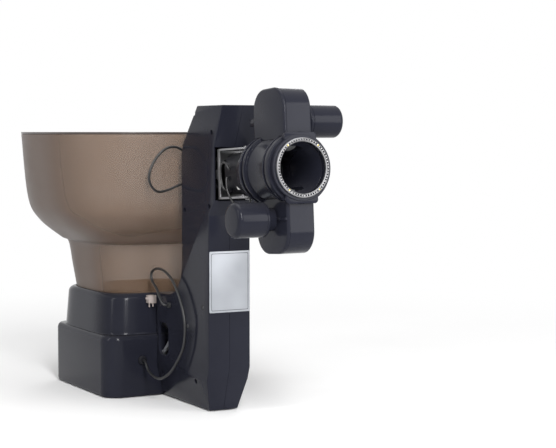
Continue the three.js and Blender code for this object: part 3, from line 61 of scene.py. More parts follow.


# Camera

view = {
    "eye": (-747.2, -1478.9, 310.0),
    "heading": 28.9,
    "drop": 3.51,
    "lens": 97.1,
    "far": 20,
}
bpy.ops.object.camera_add(location=place(*view["eye"]))
camera = bpy.context.object
camera.name = "photoCamera"
camera.rotation_euler = (math.radians(90 - view["drop"]), 0, math.radians(-view["heading"]))
camera.data.lens = view["lens"]
camera.data.clip_end = view["far"]
scene.camera = camera
scene.view_settings.view_transform = "Standard"
print("camera set")


# Shader maths

class Wire:
    # A shader socket that takes part in Python expressions
    def __init__(self, tree, socket):
        self.tree = tree
        self.socket = socket

    def combine(self, operation, first, second):
        node = self.tree.nodes.new("ShaderNodeMath")
        node.operation = operation
        feed(self.tree, node.inputs[0], first)
        feed(self.tree, node.inputs[1], second)
        return Wire(self.tree, node.outputs[0])

    def __add__(self, other):
        return self.combine("ADD", self, other)

    def __radd__(self, other):
        return self.combine("ADD", other, self)

    def __mul__(self, other):
        return self.combine("MULTIPLY", self, other)

    def __pow__(self, other):
        return self.combine("POWER", self, other)

    def clamped(self):
        node = self.tree.nodes.new("ShaderNodeClamp")
        self.tree.links.new(self.socket, node.inputs[0])
        return Wire(self.tree, node.outputs[0])


def feed(tree, socket, value):
    # Links a wire to a socket, or sets the socket's own value
    if isinstance(value, Wire):
        tree.links.new(value.socket, socket)
    else:
        socket.default_value = value


class Finish:
    # A material built node by node around one Principled BSDF
    def __init__(self, name):
        self.material = bpy.data.materials.new(name)
        self.material.use_nodes = True
        self.tree = self.material.node_tree
        self.tree.nodes.clear()
        self.surface = self.tree.nodes.new("ShaderNodeBsdfPrincipled")
        self.output = self.tree.nodes.new("ShaderNodeOutputMaterial")
        self.tree.links.new(self.surface.outputs[0], self.output.inputs[0])

    def add(self, kind, settings=None, values=None, output=0):
        node = self.tree.nodes.new("ShaderNode" + kind)
        for key, value in (settings or {}).items():
            setattr(node, key, value)
        for key, value in (values or {}).items():
            feed(self.tree, node.inputs[key], value)
        return Wire(self.tree, node.outputs[output])

    def set(self, **values):
        for key, value in values.items():
            feed(self.tree, self.surface.inputs[key.replace("_", " ")], value)

    def coordinates(self, stretch=(1, 1, 1)):
        spot = self.add("TexCoord", output=3)
        return self.add("Mapping", {"vector_type": "POINT"}, {"Vector": spot, "Scale": stretch})

    def noise(self, scale, detail=3.0, rough=0.55, vector=None):
        values = {"Vector": vector or self.coordinates(), "Scale": scale, "Detail": detail, "Roughness": rough}
        return self.add("TexNoise", {"noise_dimensions": "3D"}, values)

    def patches(self, low, high, *recipe):
        # Noise spread out, from 0 at the low level to 1 at the high one
        spread = self.add("ValToRGB", None, {"Fac": self.noise(*recipe)})
        first, last = spread.socket.node.color_ramp.elements
        first.position, last.position = low, high
        return spread

    def blend(self, amount, first, second):
        first, second = ((*tone, 1) if isinstance(tone, tuple) else tone for tone in (first, second))
        return self.add("Mix", {"data_type": "RGBA", "blend_type": "MIX"}, {0: amount, 6: first, 7: second}, output=2)

    def bump(self, height, distance, strength):
        return self.add("Bump", None, {"Height": height, "Distance": distance, "Strength": strength})

    def upward(self):
        # How far the surface faces up, from 0 to 1
        normal = self.add("NewGeometry", output=1)
        return self.add("SeparateXYZ", None, {"Vector": normal}, output=2).clamped()


def mouldedPlastic(name, dark, light, rough, grain=0.00002, dust=0.08, gloss=0.26):
    # Dark moulding: flow tone, spark-eroded grain, handling smears and a little dust on top
    finish = Finish(name)
    flow = finish.patches(0.32, 0.7, 9, 4)
    smear = finish.patches(0.45, 0.68, 26, 5, 0.62, finish.coordinates((1, 1, 0.45)))
    fine = finish.noise(2600, 2, 0.5)
    body = finish.blend(flow, dark, light)
    settled = finish.upward() ** 3.0 * finish.noise(420, 4, 0.7) * dust
    finish.set(Base_Color=finish.blend(settled, body, (0.36, 0.35, 0.34)))
    finish.set(Roughness=(rough + smear * 0.06 + fine * 0.03 + settled * 0.6).clamped())
    finish.set(Normal=finish.bump(fine, grain, 0.5), Specular_IOR_Level=gloss)
    return finish.material


def smokyPlastic():
    # Thin see-through moulding, denser where it is seen edge on
    settings = {"tint": (0.17, 0.108, 0.07), "edgeTint": (0.07, 0.05, 0.042), "clear": 0.45, "edge": 0.52}
    finish = Finish("smokyHopperPlastic")
    facing = finish.add("LayerWeight", None, {"Blend": 0.55}, output=1)
    cloud = finish.patches(0.3, 0.75, 14, 4)
    scratch = finish.patches(0.45, 0.8, 22, 3, 0.5, finish.coordinates((1, 1, 3)))
    finish.set(Base_Color=finish.blend(facing, settings["tint"], settings["edgeTint"]))
    finish.set(Alpha=(settings["clear"] + facing * settings["edge"] + cloud * 0.05).clamped())
    finish.set(Roughness=0.36 + cloud * 0.04 + scratch * 0.05, Specular_IOR_Level=0.32)
    finish.set(Normal=finish.bump(finish.noise(16, 2), 0.0002, 0.2))
    return finish.material


def sheetMetal(name, dark, light, rough, stretch=(1, 1, 40), scale=90.0):
    # Rolled or brushed metal with a run of fine lines
    finish = Finish(name)
    lines = finish.noise(scale, 4, 0.6, finish.coordinates(stretch))
    patch = finish.patches(0.35, 0.7, 30, 4)
    finish.set(Base_Color=finish.blend((lines * 0.6 + patch * 0.4).clamped(), dark, light))
    finish.set(Roughness=rough + lines * 0.14 + patch * 0.08, Metallic=1.0)
    finish.set(Normal=finish.bump(lines, 0.00002, 0.5))
    return finish.material


def dullRubber(name, dark, light, rough, grain):
    finish = Finish(name)
    pores = finish.noise(1500, 4, 0.65)
    worn = finish.patches(0.4, 0.75, 70, 4)
    finish.set(Base_Color=finish.blend((worn * 0.6 + pores * 0.4).clamped(), dark, light))
    finish.set(Roughness=(rough + pores * 0.12).clamped(), Normal=finish.bump(pores, grain, 0.8))
    return finish.material


def circuitBoard():
    finish = Finish("circuitBoard")
    cells = finish.add("TexBrick", {"offset": 0.5}, {
        "Vector": finish.coordinates(), "Scale": 120.0, "Mortar Size": 0.06,
        "Color1": (0.012, 0.075, 0.03, 1), "Color2": (0.016, 0.1, 0.042, 1), "Mortar": (0.05, 0.2, 0.09, 1)})
    finish.set(Base_Color=cells, Roughness=0.3 + finish.noise(300) * 0.2)
    return finish.material


def platedLabel():
    # Satin silver plate with a soft lengthwise sheen
    finish = Finish("satinLabelPlate")
    lines = finish.noise(900, 3, 0.5, finish.coordinates((0.03, 1, 1)))
    wash = finish.patches(0.3, 0.75, 24, 2, 0.5)
    finish.set(Base_Color=finish.blend(wash, (0.29, 0.305, 0.33), (0.36, 0.375, 0.405)))
    finish.set(Roughness=0.34 + lines * 0.12 + wash * 0.05, Metallic=0.35)
    finish.set(Normal=finish.bump(lines, 0.000015, 0.4))
    return finish.material


finishes = {
    "shell": mouldedPlastic("charcoalShellPlastic", (0.0128, 0.0135, 0.0204), (0.017, 0.0179, 0.0266), 0.14,
                            0.000003, gloss=0.1),
    "satin": mouldedPlastic("satinFittingPlastic", (0.0095, 0.0098, 0.0125), (0.0135, 0.0138, 0.017), 0.36, gloss=0.12),
    "inner": mouldedPlastic("innerMoulding", (0.02, 0.02, 0.0235), (0.028, 0.028, 0.031), 0.48, gloss=0.2),
    "smoke": smokyPlastic(),
    "lip": mouldedPlastic("denseRimPlastic", (0.05, 0.04, 0.036), (0.07, 0.056, 0.05), 0.3, gloss=0.3),
    "sleeve": mouldedPlastic("greySleeveRubber", (0.16, 0.165, 0.18), (0.22, 0.225, 0.24), 0.3, gloss=0.5),
    "steel": sheetMetal("platedSteel", (0.17, 0.17, 0.175), (0.3, 0.3, 0.31), 0.27),
    "silver": sheetMetal("dialSilver", (0.52, 0.51, 0.51), (0.68, 0.67, 0.68), 0.3, (1, 40, 1)),
    "label": platedLabel(),
    "rubber": dullRubber("blackFootRubber", (0.012, 0.012, 0.013), (0.024, 0.024, 0.025), 0.72, 0.00008),
    "tyre": dullRubber("greyGripRubber", (0.17, 0.175, 0.18), (0.26, 0.265, 0.27), 0.8, 0.00015),
    "board": circuitBoard(),
    "ivory": mouldedPlastic("ivoryNylon", (0.32, 0.275, 0.255), (0.39, 0.34, 0.32), 0.42, dust=0.05),
    "cable": dullRubber("cableJacket", (0.006, 0.006, 0.007), (0.011, 0.011, 0.012), 0.32, 0.00002),
    "dial": sheetMetal("dialFace", (0.3, 0.3, 0.31), (0.42, 0.42, 0.43), 0.34, (1, 40, 1)),
    "steelDark": sheetMetal("blackedScrewSteel", (0.05, 0.05, 0.055), (0.12, 0.12, 0.125), 0.32, (1, 1, 1), 300),
    "amber": mouldedPlastic("amberFigures", (0.62, 0.5, 0.12), (0.75, 0.62, 0.2), 0.5, dust=0.02),
    "ink": dullRubber("printedMarks", (0.02, 0.02, 0.022), (0.035, 0.035, 0.038), 0.6, 0.00002),
    # White for the hub's painted highlight
    "paint": mouldedPlastic("paintedGlintWhite", (0.7, 0.7, 0.68), (0.8, 0.8, 0.78), 0.5, dust=0.02),
}
print("materials made")


# Modelling helpers

def deselectAll():
    if bpy.context.object and bpy.context.object.mode != "OBJECT":
        bpy.ops.object.mode_set(mode="OBJECT")
    bpy.ops.object.select_all(action="DESELECT")


def activate(piece):
    deselectAll()
    piece.select_set(True)
    bpy.context.view_layer.objects.active = piece


def edit(piece):
    activate(piece)
    bpy.ops.object.mode_set(mode="EDIT")
    bpy.ops.mesh.select_all(action="DESELECT")


def leaveEdit():
    bpy.ops.object.mode_set(mode="OBJECT")


def pick(piece, kind, test):
    # Selects the faces, edges or verts of the piece in edit mode that pass the test
    bpy.ops.mesh.select_all(action="DESELECT")
    bpy.ops.mesh.select_mode(type={"faces": "FACE", "edges": "EDGE", "verts": "VERT"}[kind])
    shape = bmesh.from_edit_mesh(piece.data)
    for part in getattr(shape, kind):
        if test(part):
            part.select_set(True)
    shape.select_flush_mode()
    bmesh.update_edit_mesh(piece.data)


def middle(part):
    return sum((vert.co for vert in part.verts), Vector()) / len(part.verts)


def selectAll():
    bpy.ops.mesh.select_all(action="SELECT")


def faceOut():
    selectAll()
    bpy.ops.mesh.normals_make_consistent(inside=False)


near = 2e-6  # points closer than this, in metres, are one


def joinDoubles(distance=near):
    selectAll()
    bpy.ops.mesh.remove_doubles(threshold=distance)


def modified(piece, kind, **settings):
    # Puts one modifier on the piece and applies it
    modifier = piece.modifiers.new(kind.lower(), kind)
    for key, value in settings.items():
        setattr(modifier, key, value)
    activate(piece)
    bpy.ops.object.modifier_apply(modifier=modifier.name)
    return piece


def bevelled(piece, width, segments=2, angle=30):
    return modified(piece, "BEVEL", width=width * mm, segments=segments, limit_method="ANGLE",
                    angle_limit=math.radians(angle))


def cutWith(piece, tool, operation="DIFFERENCE"):
    modified(piece, "BOOLEAN", operation=operation, solver="EXACT", object=tool)
    bpy.data.objects.remove(tool)
    return piece


def walled(piece, thickness):
    # Gives an open skin its wall, inwards
    return modified(piece, "SOLIDIFY", thickness=thickness * mm, offset=-1, use_even_offset=True)


def settle(piece, frameMatrix):
    # Moves a piece from its drawing's frame into the whole frame
    activate(piece)
    piece.matrix_basis = frameMatrix @ piece.matrix_basis
    bpy.ops.object.transform_apply()
    return piece


def placed(name, data):
    piece = bpy.data.objects.new(name, data)
    scene.collection.objects.link(piece)
    return piece


def camelName(node):
    first, *others = node.split("_")
    return first + "".join(word.capitalize() for word in others)


def drawingFrame(body):
    return standFrame if body == "root" else headFrame


def finishPiece(piece, name, body, finish, smooth=35, node=None, drawn=True):
    # A drawn piece goes from its body's drawing into the whole frame; a copy of a node is there already
    settle(piece, drawingFrame(body) if drawn else Matrix())
    if smooth:
        bpy.ops.object.shade_smooth_by_angle(angle=math.radians(smooth))
    piece.name = name
    piece.data.materials.clear()
    piece.data.materials.append(finishes[finish])
    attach(piece, body)
    if node:
        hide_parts(node)
    return piece


def standIn(piece, node, body, finish, smooth=35):
    # Finishes a piece that is seen in place of a CAD node
    return finishPiece(piece, camelName(node), body, finish, smooth, node)


def polished(node, body, finish, width, smooth=35, angle=30, name=None):
    # A copy of a CAD node, merged, with its edges rounded
    copy = placed(name or camelName(node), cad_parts[node].data.copy())
    edit(copy)
    joinDoubles()
    bpy.ops.mesh.dissolve_limited(angle_limit=math.radians(1))
    leaveEdit()
    bevelled(copy, width, 2, angle)
    return finishPiece(copy, copy.name, body, finish, smooth, node, False)


def outlined(points):
    # A closed flat outline through points in millimetres, left in edit mode with its face
    bpy.ops.mesh.primitive_plane_add(size=mm, location=(0, 0, 0))
    piece = bpy.context.object
    edit(piece)
    bpy.ops.mesh.select_mode(type="VERT")
    selectAll()
    bpy.ops.mesh.merge(type="CENTER")
    corners = [Vector(point) * mm for point in points]
    bpy.ops.transform.translate(value=corners[0])
    for here, after in zip(corners, corners[1:]):
        bpy.ops.mesh.extrude_vertices_move(TRANSFORM_OT_translate={"value": after - here})
    selectAll()
    bpy.ops.mesh.edge_face_add()
    return piece


def pushed(piece, run):
    # Pulls the outline's face into a solid along a run in millimetres
    selectAll()
    bpy.ops.mesh.extrude_region_move(TRANSFORM_OT_translate={"value": Vector(run) * mm})
    faceOut()
    return piece


def softened(kind, radius, steps, profile=0.5):
    bpy.ops.mesh.bevel(offset=radius * mm, segments=steps, profile=profile, affect=kind, clamp_overlap=False)


def roundCorners(piece, radius, steps=12, test=lambda vert: True):
    pick(piece, "verts", test)
    softened("VERTICES", radius, steps)


def roundEdges(piece, radius, steps, test):
    pick(piece, "edges", test)
    softened("EDGES", radius, steps)


# Flats round a turned form
flats = {"drum": 128, "ring": 96, "bore": 48, "hole": 32, "pin": 24}


def turned(profile, steps=flats["ring"]):
    # A profile of (radius, along) in millimetres, drawn point by point and spun about Z
    piece = outlined([(radius, 0, along) for radius, along in profile])
    pick(piece, "faces", lambda face: True)
    bpy.ops.mesh.delete(type="ONLY_FACE")
    if profile[0][0] == 0:
        pick(piece, "edges", lambda line: all(abs(vert.co.x) < near for vert in line.verts))
        bpy.ops.mesh.delete(type="EDGE")
    selectAll()
    bpy.ops.mesh.spin(steps=steps, angle=math.tau, center=(0, 0, 0), axis=(0, 0, 1))
    joinDoubles(near / 2)
    faceOut()
    leaveEdit()
    return piece


def swung(piece, turn, location):
    # Turns and moves a piece within its drawing, in degrees and millimetres
    return settle(piece, moved(location) @ spun(turn[2], "Z") @ spun(turn[1], "Y") @ spun(turn[0], "X"))


def turnedForward(profile, x=0, z=0, steps=flats["ring"]):
    # Along runs towards -Y
    return swung(turned(profile, steps), (90, 0, 0), (x, 0, z))


def turnedAcross(profile, y, z, steps=flats["ring"]):
    # Along runs towards +X
    return swung(turned(profile, steps), (0, 90, 0), (0, y, z))


def turnedUpright(profile, y, steps=flats["ring"]):
    return swung(turned(profile, steps), (0, 0, 0), (0, y, 0))


def quarter(steps):
    # Sine and cosine at each step along a quarter turn
    angles = [step / steps * math.pi / 2 for step in range(steps + 1)]
    return [(math.sin(angle), math.cos(angle)) for angle in angles]


def rod(radius, start, end):
    return [(0, start), (radius, start), (radius, end), (0, end)]


def ring(inner, outer, start, end):
    return [(inner, start), (outer, start), (outer, end), (inner, end)]


def blockAt(low, high):
    # A block between two corners in millimetres, as a cutting tool
    low, high = Vector(low) * mm, Vector(high) * mm
    bpy.ops.mesh.primitive_cube_add(size=1, location=(low + high) / 2)
    piece = bpy.context.object
    piece.scale = high - low
    bpy.ops.object.transform_apply()
    return piece


def merged(pieces):
    deselectAll()
    for piece in pieces:
        piece.select_set(True)
    bpy.context.view_layer.objects.active = pieces[0]
    bpy.ops.object.join()
    return pieces[0]


def lofted(sections, centre, steps, foot, top):
    # A skin through rounded squares of (height, half width, corner), bridged one to the next; a fourth number
    # squares the corner's curve
    bpy.ops.mesh.primitive_plane_add(size=mm, location=(0, 0, 0))
    piece = bpy.context.object
    edit(piece)
    selectAll()
    bpy.ops.mesh.delete(type="VERT")
    bpy.ops.mesh.select_mode(type="VERT")
    for height, half, corner, *square in sections:
        bpy.ops.mesh.select_all(action="DESELECT")
        bpy.ops.mesh.primitive_plane_add(size=2 * half * mm, location=(0, centre * mm, height * mm))
        softened("VERTICES", corner, steps, *square)
        bpy.ops.mesh.delete(type="ONLY_FACE")
    levels = [row[0] * mm for row in sections]
    for here, after in zip(levels, levels[1:]):
        pick(piece, "verts", lambda vert: min(abs(vert.co.z - here), abs(vert.co.z - after)) < near)
        bpy.ops.mesh.bridge_edge_loops()
    for level in (levels[0], levels[-1]):
        pick(piece, "verts", lambda vert: abs(vert.co.z - level) < near)
        bpy.ops.mesh.edge_face_add()
    joinDoubles()
    faceOut()
    for level, closed in ((levels[0], foot), (levels[-1], top)):
        if not closed:
            pick(piece, "faces", lambda face: all(abs(vert.co.z - level) < near for vert in face.verts))
            bpy.ops.mesh.delete(type="FACE")
    leaveEdit()
    return piece


def splined(points, steps):
    # Points along a smooth curve through rows of numbers
    rows = [points[0], *points, points[-1]]
    result = []
    for index in range(steps + 1):
        spot = index / steps * (len(points) - 1)
        part = min(int(spot), len(points) - 2)
        share = spot - part
        before, here, after, beyond = (Vector(row) for row in rows[part:part + 4])
        result.append(0.5 * (2 * here + (after - before) * share
                             + (2 * before - 5 * here + 4 * after - beyond) * share ** 2
                             + (3 * here - before - 3 * after + beyond) * share ** 3))
    return result


# Cables and leads first: the same routes as the CAD's

lowerCable = {
    "node": "lower_cable", "body": "root", "thickness": 3.0,
    "points": [
        (-44.7, 118.7, 43.7), (-44.7, 116, 43.7), (-45, 110.5, 40.5), (-45.4, 103, 33.8), (-45, 89.4, 29.3),
        (-43, 74.4, 28.8), (-39, 60.1, 36.2), (-36, 47.6, 48.9), (-33.5, 34.3, 67.9), (-33, 30, 85.7),
        (-33, 31.4, 101.3), (-33, 38.6, 116.3), (-33, 53.2, 134.1), (-33, 74.1, 147.6), (-33.5, 98, 152.4),
        (-34, 117, 147.5), (-34, 118, 138.5), (-34, 104, 128.5), (-34.8, 93, 118.5), (-33.6, 87.2, 112.4),
        (-31, 86, 111), (-28.4, 86, 111),
    ],
}
upperCable = {
    "node": "upper_cable", "body": "root", "thickness": 3.0,
    "points": [
        (-14, 57, 281), (-14, 59, 281), (-15.2, 61.8, 283.6), (-20, 62.4, 289.5), (-30, 62.4, 293.2),
        (-42, 62.4, 290.6), (-54.5, 62.2, 278.2), (-61.5, 62, 262), (-59, 62, 249.5), (-51, 61.8, 243.2),
        (-40, 61.8, 244.4), (-28, 61.8, 248.8), (-18, 61.4, 251.8), (-15, 59.2, 252), (-15, 57, 252),
    ],
}
portCable = {
    "node": "port_cable", "body": "root", "thickness": 3.0,
    "points": [
        (-17.5, 98.3, 70), (-17.5, 96, 72), (-17.5, 90, 75.9), (-17.6, 82, 77.6), (-18.2, 74, 75.6),
        (-19, 68.4, 71.2), (-19.2, 65.2, 70), (-19.2, 62.3, 70),
    ],
}
hubLead = {
    "node": "hub_lead", "body": "swing_hub", "thickness": 2.4,
    "points": [
        (-19.9, -19.5, -17.5), (-22.6, -19.5, -17.5), (-25.4, -18.3, -15.2), (-26.3, -16, -9.5),
        (-26.4, -14.6, -1.3), (-26.4, -15.8, 7.8), (-26.4, -21.7, 11.6), (-26.4, -28, 10), (-26, -31.1, 6.4),
        (-25, -31.5, 4.7), (-23.5, -31.5, 4.7),
    ],
}
motorLead = {
    "node": "motor_lead", "body": "swing_hub", "thickness": 2.4,
    "points": [
        (-23.5, -26, -5), (-25, -26, -5), (-26, -26.8, -9.4), (-25.6, -27.7, -18), (-22.6, -30.4, -28.6),
        (-18.4, -34.5, -34.2), (-13, -40.5, -35), (-9, -44.8, -32.4), (-8, -45.5, -29.6), (-8, -45.5, -27.2),
    ],
}


def layCable(settings):
    name = camelName(settings["node"])
    route = [drawingFrame(settings["body"]) @ (Vector(point) * mm) for point in settings["points"]]
    curve = bpy.data.curves.new(name, "CURVE")
    curve.dimensions = "3D"
    curve.resolution_u = 8
    curve.bevel_depth = settings["thickness"] * mm / 2
    curve.bevel_resolution = 4
    curve.use_fill_caps = True
    line = curve.splines.new("BEZIER")
    line.bezier_points.add(len(route) - 1)
    for index, (knot, spot) in enumerate(zip(line.bezier_points, route)):
        before, after = route[max(index - 1, 0)], route[min(index + 1, len(route) - 1)]
        heading = (after - before).normalized()
        knot.handle_left_type = knot.handle_right_type = "FREE"
        knot.co = spot
        knot.handle_left = spot - heading * (spot - before).length / 3
        knot.handle_right = spot + heading * (after - spot).length / 3
    piece = placed(name, curve)
    curve.materials.append(finishes["cable"])
    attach(piece, settings["body"])
    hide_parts(settings["node"])
    print(name, round(line.calc_length(), 4))


for settings in (lowerCable, upperCable, portCable, hubLead, motorLead):
    layCable(settings)
print("cables laid")


# Floor and studio light

studio = {
    "floorRadius": 14.0,
    "floorFade": (0.32, 1.25),
    "world": 0.3,
    "key": {"spot": (-0.52, -1.75, 1.15), "aim": (0, 0, 0.25), "size": (0.28, 1.4), "power": 42},
    "left": {"spot": (-1.85, -0.2, 1.1), "aim": (0, 0.05, 0.25), "size": (0.22, 1.5), "power": 10},
    "fill": {"spot": (1.5, -2.3, 0.9), "aim": (0, -0.1, 0.25), "size": (1.5, 1.8), "power": 38},
    "back": {"spot": (1.7, 1.9, 1.3), "aim": (0, 0.1, 0.2), "size": (1.2, 1.3), "power": 14},
    "top": {"spot": (0.1, 0.3, 2.5), "aim": (0, 0, 0.1), "size": (1.6, 1.6), "power": 15},
}
for name in ("key", "left", "fill", "back", "top"):
    settings = studio[name]
    spot, aim = Vector(settings["spot"]), Vector(settings["aim"])
    bpy.ops.object.light_add(type="AREA", location=spot)
    lamp = bpy.context.object
    lamp.name = name + "Lamp"
    lamp.rotation_euler = (aim - spot).to_track_quat("-Z", "Y").to_euler()
    lamp.data.shape = "RECTANGLE"
    lamp.data.size, lamp.data.size_y = settings["size"]
    lamp.data.energy = settings["power"]

world = bpy.data.worlds.new("paleStudio")
scene.world = world
world.use_nodes = True
skyTree = world.node_tree
skyTree.nodes.clear()
rays = skyTree.nodes.new("ShaderNodeLightPath")
# Rays that show the surroundings see them white; the others get the dim light of the room
shown, glossy, through = (Wire(skyTree, rays.outputs[f"Is {kind} Ray"])
                          for kind in ("Camera", "Glossy", "Transmission"))
backdrop = skyTree.nodes.new("ShaderNodeBackground")
feed(skyTree, backdrop.inputs["Color"], (1, 1, 1, 1))
strength = studio["world"] + (shown + glossy + through).clamped() * (1 - studio["world"])
feed(skyTree, backdrop.inputs["Strength"], strength)
skyOut = skyTree.nodes.new("ShaderNodeOutputWorld")
skyTree.links.new(backdrop.outputs[0], skyOut.inputs[0])

bpy.ops.mesh.primitive_circle_add(vertices=96, radius=studio["floorRadius"], fill_type="NGON", location=(0, 0, 0))
floor = bpy.context.object
floor.name = "studioFloor"
floorFinish = Finish("paleFloor")
spread = floorFinish.add("VectorMath", {"operation": "LENGTH"}, {0: floorFinish.coordinates()}, output=1)
fadeFrom, fadeTo = studio["floorFade"]
away = floorFinish.add("MapRange", {"interpolation_type": "SMOOTHSTEP"},
                       {"Value": spread, "From Min": fadeFrom, "From Max": fadeTo})
mottle = floorFinish.noise(6, 3)
floorFinish.set(Base_Color=floorFinish.blend(mottle, (0.9, 0.9, 0.9), (0.93, 0.93, 0.93)), Roughness=0.9)
ground = Wire(floorFinish.tree, floorFinish.surface.outputs[0])
faded = floorFinish.add("MixShader", None, {0: away, 1: ground, 2: floorFinish.add("Emission")})
feed(floorFinish.tree, floorFinish.output.inputs[0], faded)
floor.data.materials.append(floorFinish.material)
print("studio ready")


# Hopper bowl

hopper = {
    "centre": 212,
    "wall": 2.2,
    "sections": [
        (106.3, 75.7, 0.663), (121, 76.8, 0.663), (148.5, 80.9, 0.668), (176, 85, 0.678), (182, 94, 0.668),
        (204, 120, 0.637), (232, 133.8, 0.615), (307.4, 140.8, 0.61),
    ],
    "turn": 0.985, "steps": 40, "cornerSteps": 26, "lipRound": 0.8, "lipAngle": 60, "roundSteps": 3,
    "rim": [(307.5, 140.8, 0.61), (308.6, 141, 0.61), (310, 141, 0.61)],
    "rimWall": 3.2, "rimRound": 0.6, "rimAngle": 40,
    "mouth": (21, -161, -120), "mouthHeight": 97,
}


def hopperSkin(rows, wall):
    sections = [(height, half, half * hopper["turn"], square) for height, half, square in rows]
    return walled(lofted(sections, hopper["centre"], hopper["cornerSteps"], False, False), wall)


bowl = hopperSkin(splined(hopper["sections"], hopper["steps"]), hopper["wall"])
bevelled(bowl, hopper["lipRound"], hopper["roundSteps"], hopper["lipAngle"])
cutWith(bowl, turnedForward(rod(*hopper["mouth"]), 0, hopper["mouthHeight"]))
standIn(bowl, "hopper_bowl", "root", "smoke", 40)
lip = hopperSkin(hopper["rim"], hopper["rimWall"])
bevelled(lip, hopper["rimRound"], hopper["roundSteps"], hopper["rimAngle"])
finishPiece(lip, "hopperRim", "root", "lip", 40)
print("hopper made")


# Base housing and feed tub

base = {
    "centre": 212, "half": 88.5, "corner": 21, "wall": 2.6, "foot": 1.5, "hem": 3.0, "hemIn": 1.0,
    "deck": 73, "fillet": 6.5, "filletIn": 4.4, "filletSteps": 7,
    "switch": (-32, 36, 8.5, 11.5), "inlet": (0, 36, 6.3), "socket": (30, 36, 7.3, 6.3),
    "leadHoles": [(-44.7, 43.7), (-17.5, 50)], "holeRadius": 3.5, "cutIn": 8, "cutOut": 5, "shaftHole": (4.4, 60, 80),
    "cornerSteps": 14,
}
rows = [(base["foot"], base["half"] - base["hemIn"], base["corner"] - base["hemIn"]),
        (base["foot"] + base["hem"], base["half"], base["corner"])]
for sine, cosine in quarter(base["filletSteps"]):
    drawIn = base["filletIn"] * (1 - cosine)
    rows.append((base["deck"] - base["fillet"] * (1 - sine), base["half"] - drawIn, base["corner"] - drawIn))
housing = lofted(rows, base["centre"], base["cornerSteps"], False, True)
walled(housing, base["wall"])
rear = base["centre"] + base["half"]
front = base["centre"] - base["half"]
cutters = []
for x, z, halfX, halfZ in (base["switch"], base["socket"]):
    cutters.append(blockAt((x - halfX, rear - base["cutIn"], z - halfZ),
                           (x + halfX, rear + base["cutOut"], z + halfZ)))
x, z, radius = base["inlet"]
cutters.append(turnedForward(rod(radius, -rear - base["cutOut"], -rear + base["cutIn"]), x, z, flats["bore"]))
leadHole = rod(base["holeRadius"], -front - base["cutIn"], -front + base["cutOut"])
cutters += [turnedForward(leadHole, x, z, flats["hole"]) for x, z in base["leadHoles"]]
cutters.append(turnedUpright(rod(*base["shaftHole"]), base["centre"], flats["hole"]))
cutWith(housing, merged(cutters))
standIn(housing, "base_housing", "root", "shell", 40)

tub = {
    "centre": 212, "foot": (84.5, 0.758), "rim": (81, 0.758), "bottom": 73.3, "top": 121, "wall": 2.2,
    "shoulder": 7.5, "lip": (77.4, 0.672), "cove": 2.6, "coveOut": 0.9, "turn": 0.985, "coveSteps": 4,
    "shoulderSteps": 8, "mouth": (21, -161, -124), "axis": 97, "shaftHole": (4.4, 70, 80),
}


def tubRow(height):
    share = (height - tub["bottom"]) / (tub["top"] - tub["bottom"])
    return [tub["foot"][part] + (tub["rim"][part] - tub["foot"][part]) * share for part in (0, 1)]


rows = []
for sine, cosine in quarter(tub["coveSteps"]):
    flare = tub["coveOut"] * (1 - sine)
    height = tub["bottom"] + tub["cove"] * (1 - cosine)
    half, square = tubRow(height)
    rows.append((height, half + flare, (half + flare) * tub["turn"], square))
# The shoulder rolls in to the hopper's neck
for sine, cosine in quarter(tub["shoulderSteps"]):
    height = tub["top"] - tub["shoulder"] * (1 - sine)
    half, square = (side + (end - side) * (1 - cosine) for side, end in zip(tubRow(height), tub["lip"]))
    rows.append((height, half, half * tub["turn"], square))
feedTub = lofted(rows, tub["centre"], hopper["cornerSteps"], True, False)
walled(feedTub, tub["wall"])
way = turnedForward(rod(*tub["mouth"]), 0, tub["axis"])
hole = turnedUpright(rod(*tub["shaftHole"]), tub["centre"], flats["hole"])
cutWith(feedTub, merged([way, hole]))
standIn(feedTub, "feed_tub", "root", "shell", 40)
print("base and tub made")


# Column: two half shells

column = {
    "halfWidth": 25.4, "wall": 2.4, "seam": 0.15, "round": 0.9, "toeHalfWidth": 17.5, "toeRise": 36, "foot": 1.5,
    "outline": [
        (0, 1.5), (123.2, 1.5), (123.2, 122.2), (100, 122.8), "flare", (54, 285), (50, 297), (13, 338.8),
        (-48.6, 338.8), (-28, 293.6), (-29, 235.2), (-15, 218.7), (-15, 50), (-10, 36),
    ],
    "flare": [(100, 122.8), (54, 122.8), (54, 168)],
    "flareSteps": 16,
    "screws": [(-22.4, 309.6), (-16.333, 229.2), (46, 222.7), (21, 330.8), (20, 32), (111.2, 28)],
    "lugScrews": [(0.6, 117), (39, 92)],
    "recess": 2.9, "recessDepth": 5, "lugDepth": 1, "pocket": 3.2,
    "port": (91.2, 118.2, 51, 89, 9),
    "bushes": [(-14, 281), (-15, 252)], "sideBush": (86, 111), "bushHole": 2.5, "bushSpan": 18, "rearWall": 54,
    "window": (240, 290), "openRear": 120, "outside": -30, "behind": -60,
    "flat": 0.99, "seamReach": 1, "pocketNear": 2e-5, "creaseOut": 5, "creaseAngle": 25, "creaseSteps": 3,
}


def columnPoints():
    # The outline with its flare, the curve from the low part's top up into the back
    start, corner, end = (Vector(point) for point in column["flare"])
    shares = [step / column["flareSteps"] for step in range(1, column["flareSteps"] + 1)]
    flare = [start * (1 - share) ** 2 + corner * 2 * share * (1 - share) + end * share ** 2 for share in shares]
    at = column["outline"].index("flare")
    return column["outline"][:at] + flare + column["outline"][at + 1:]


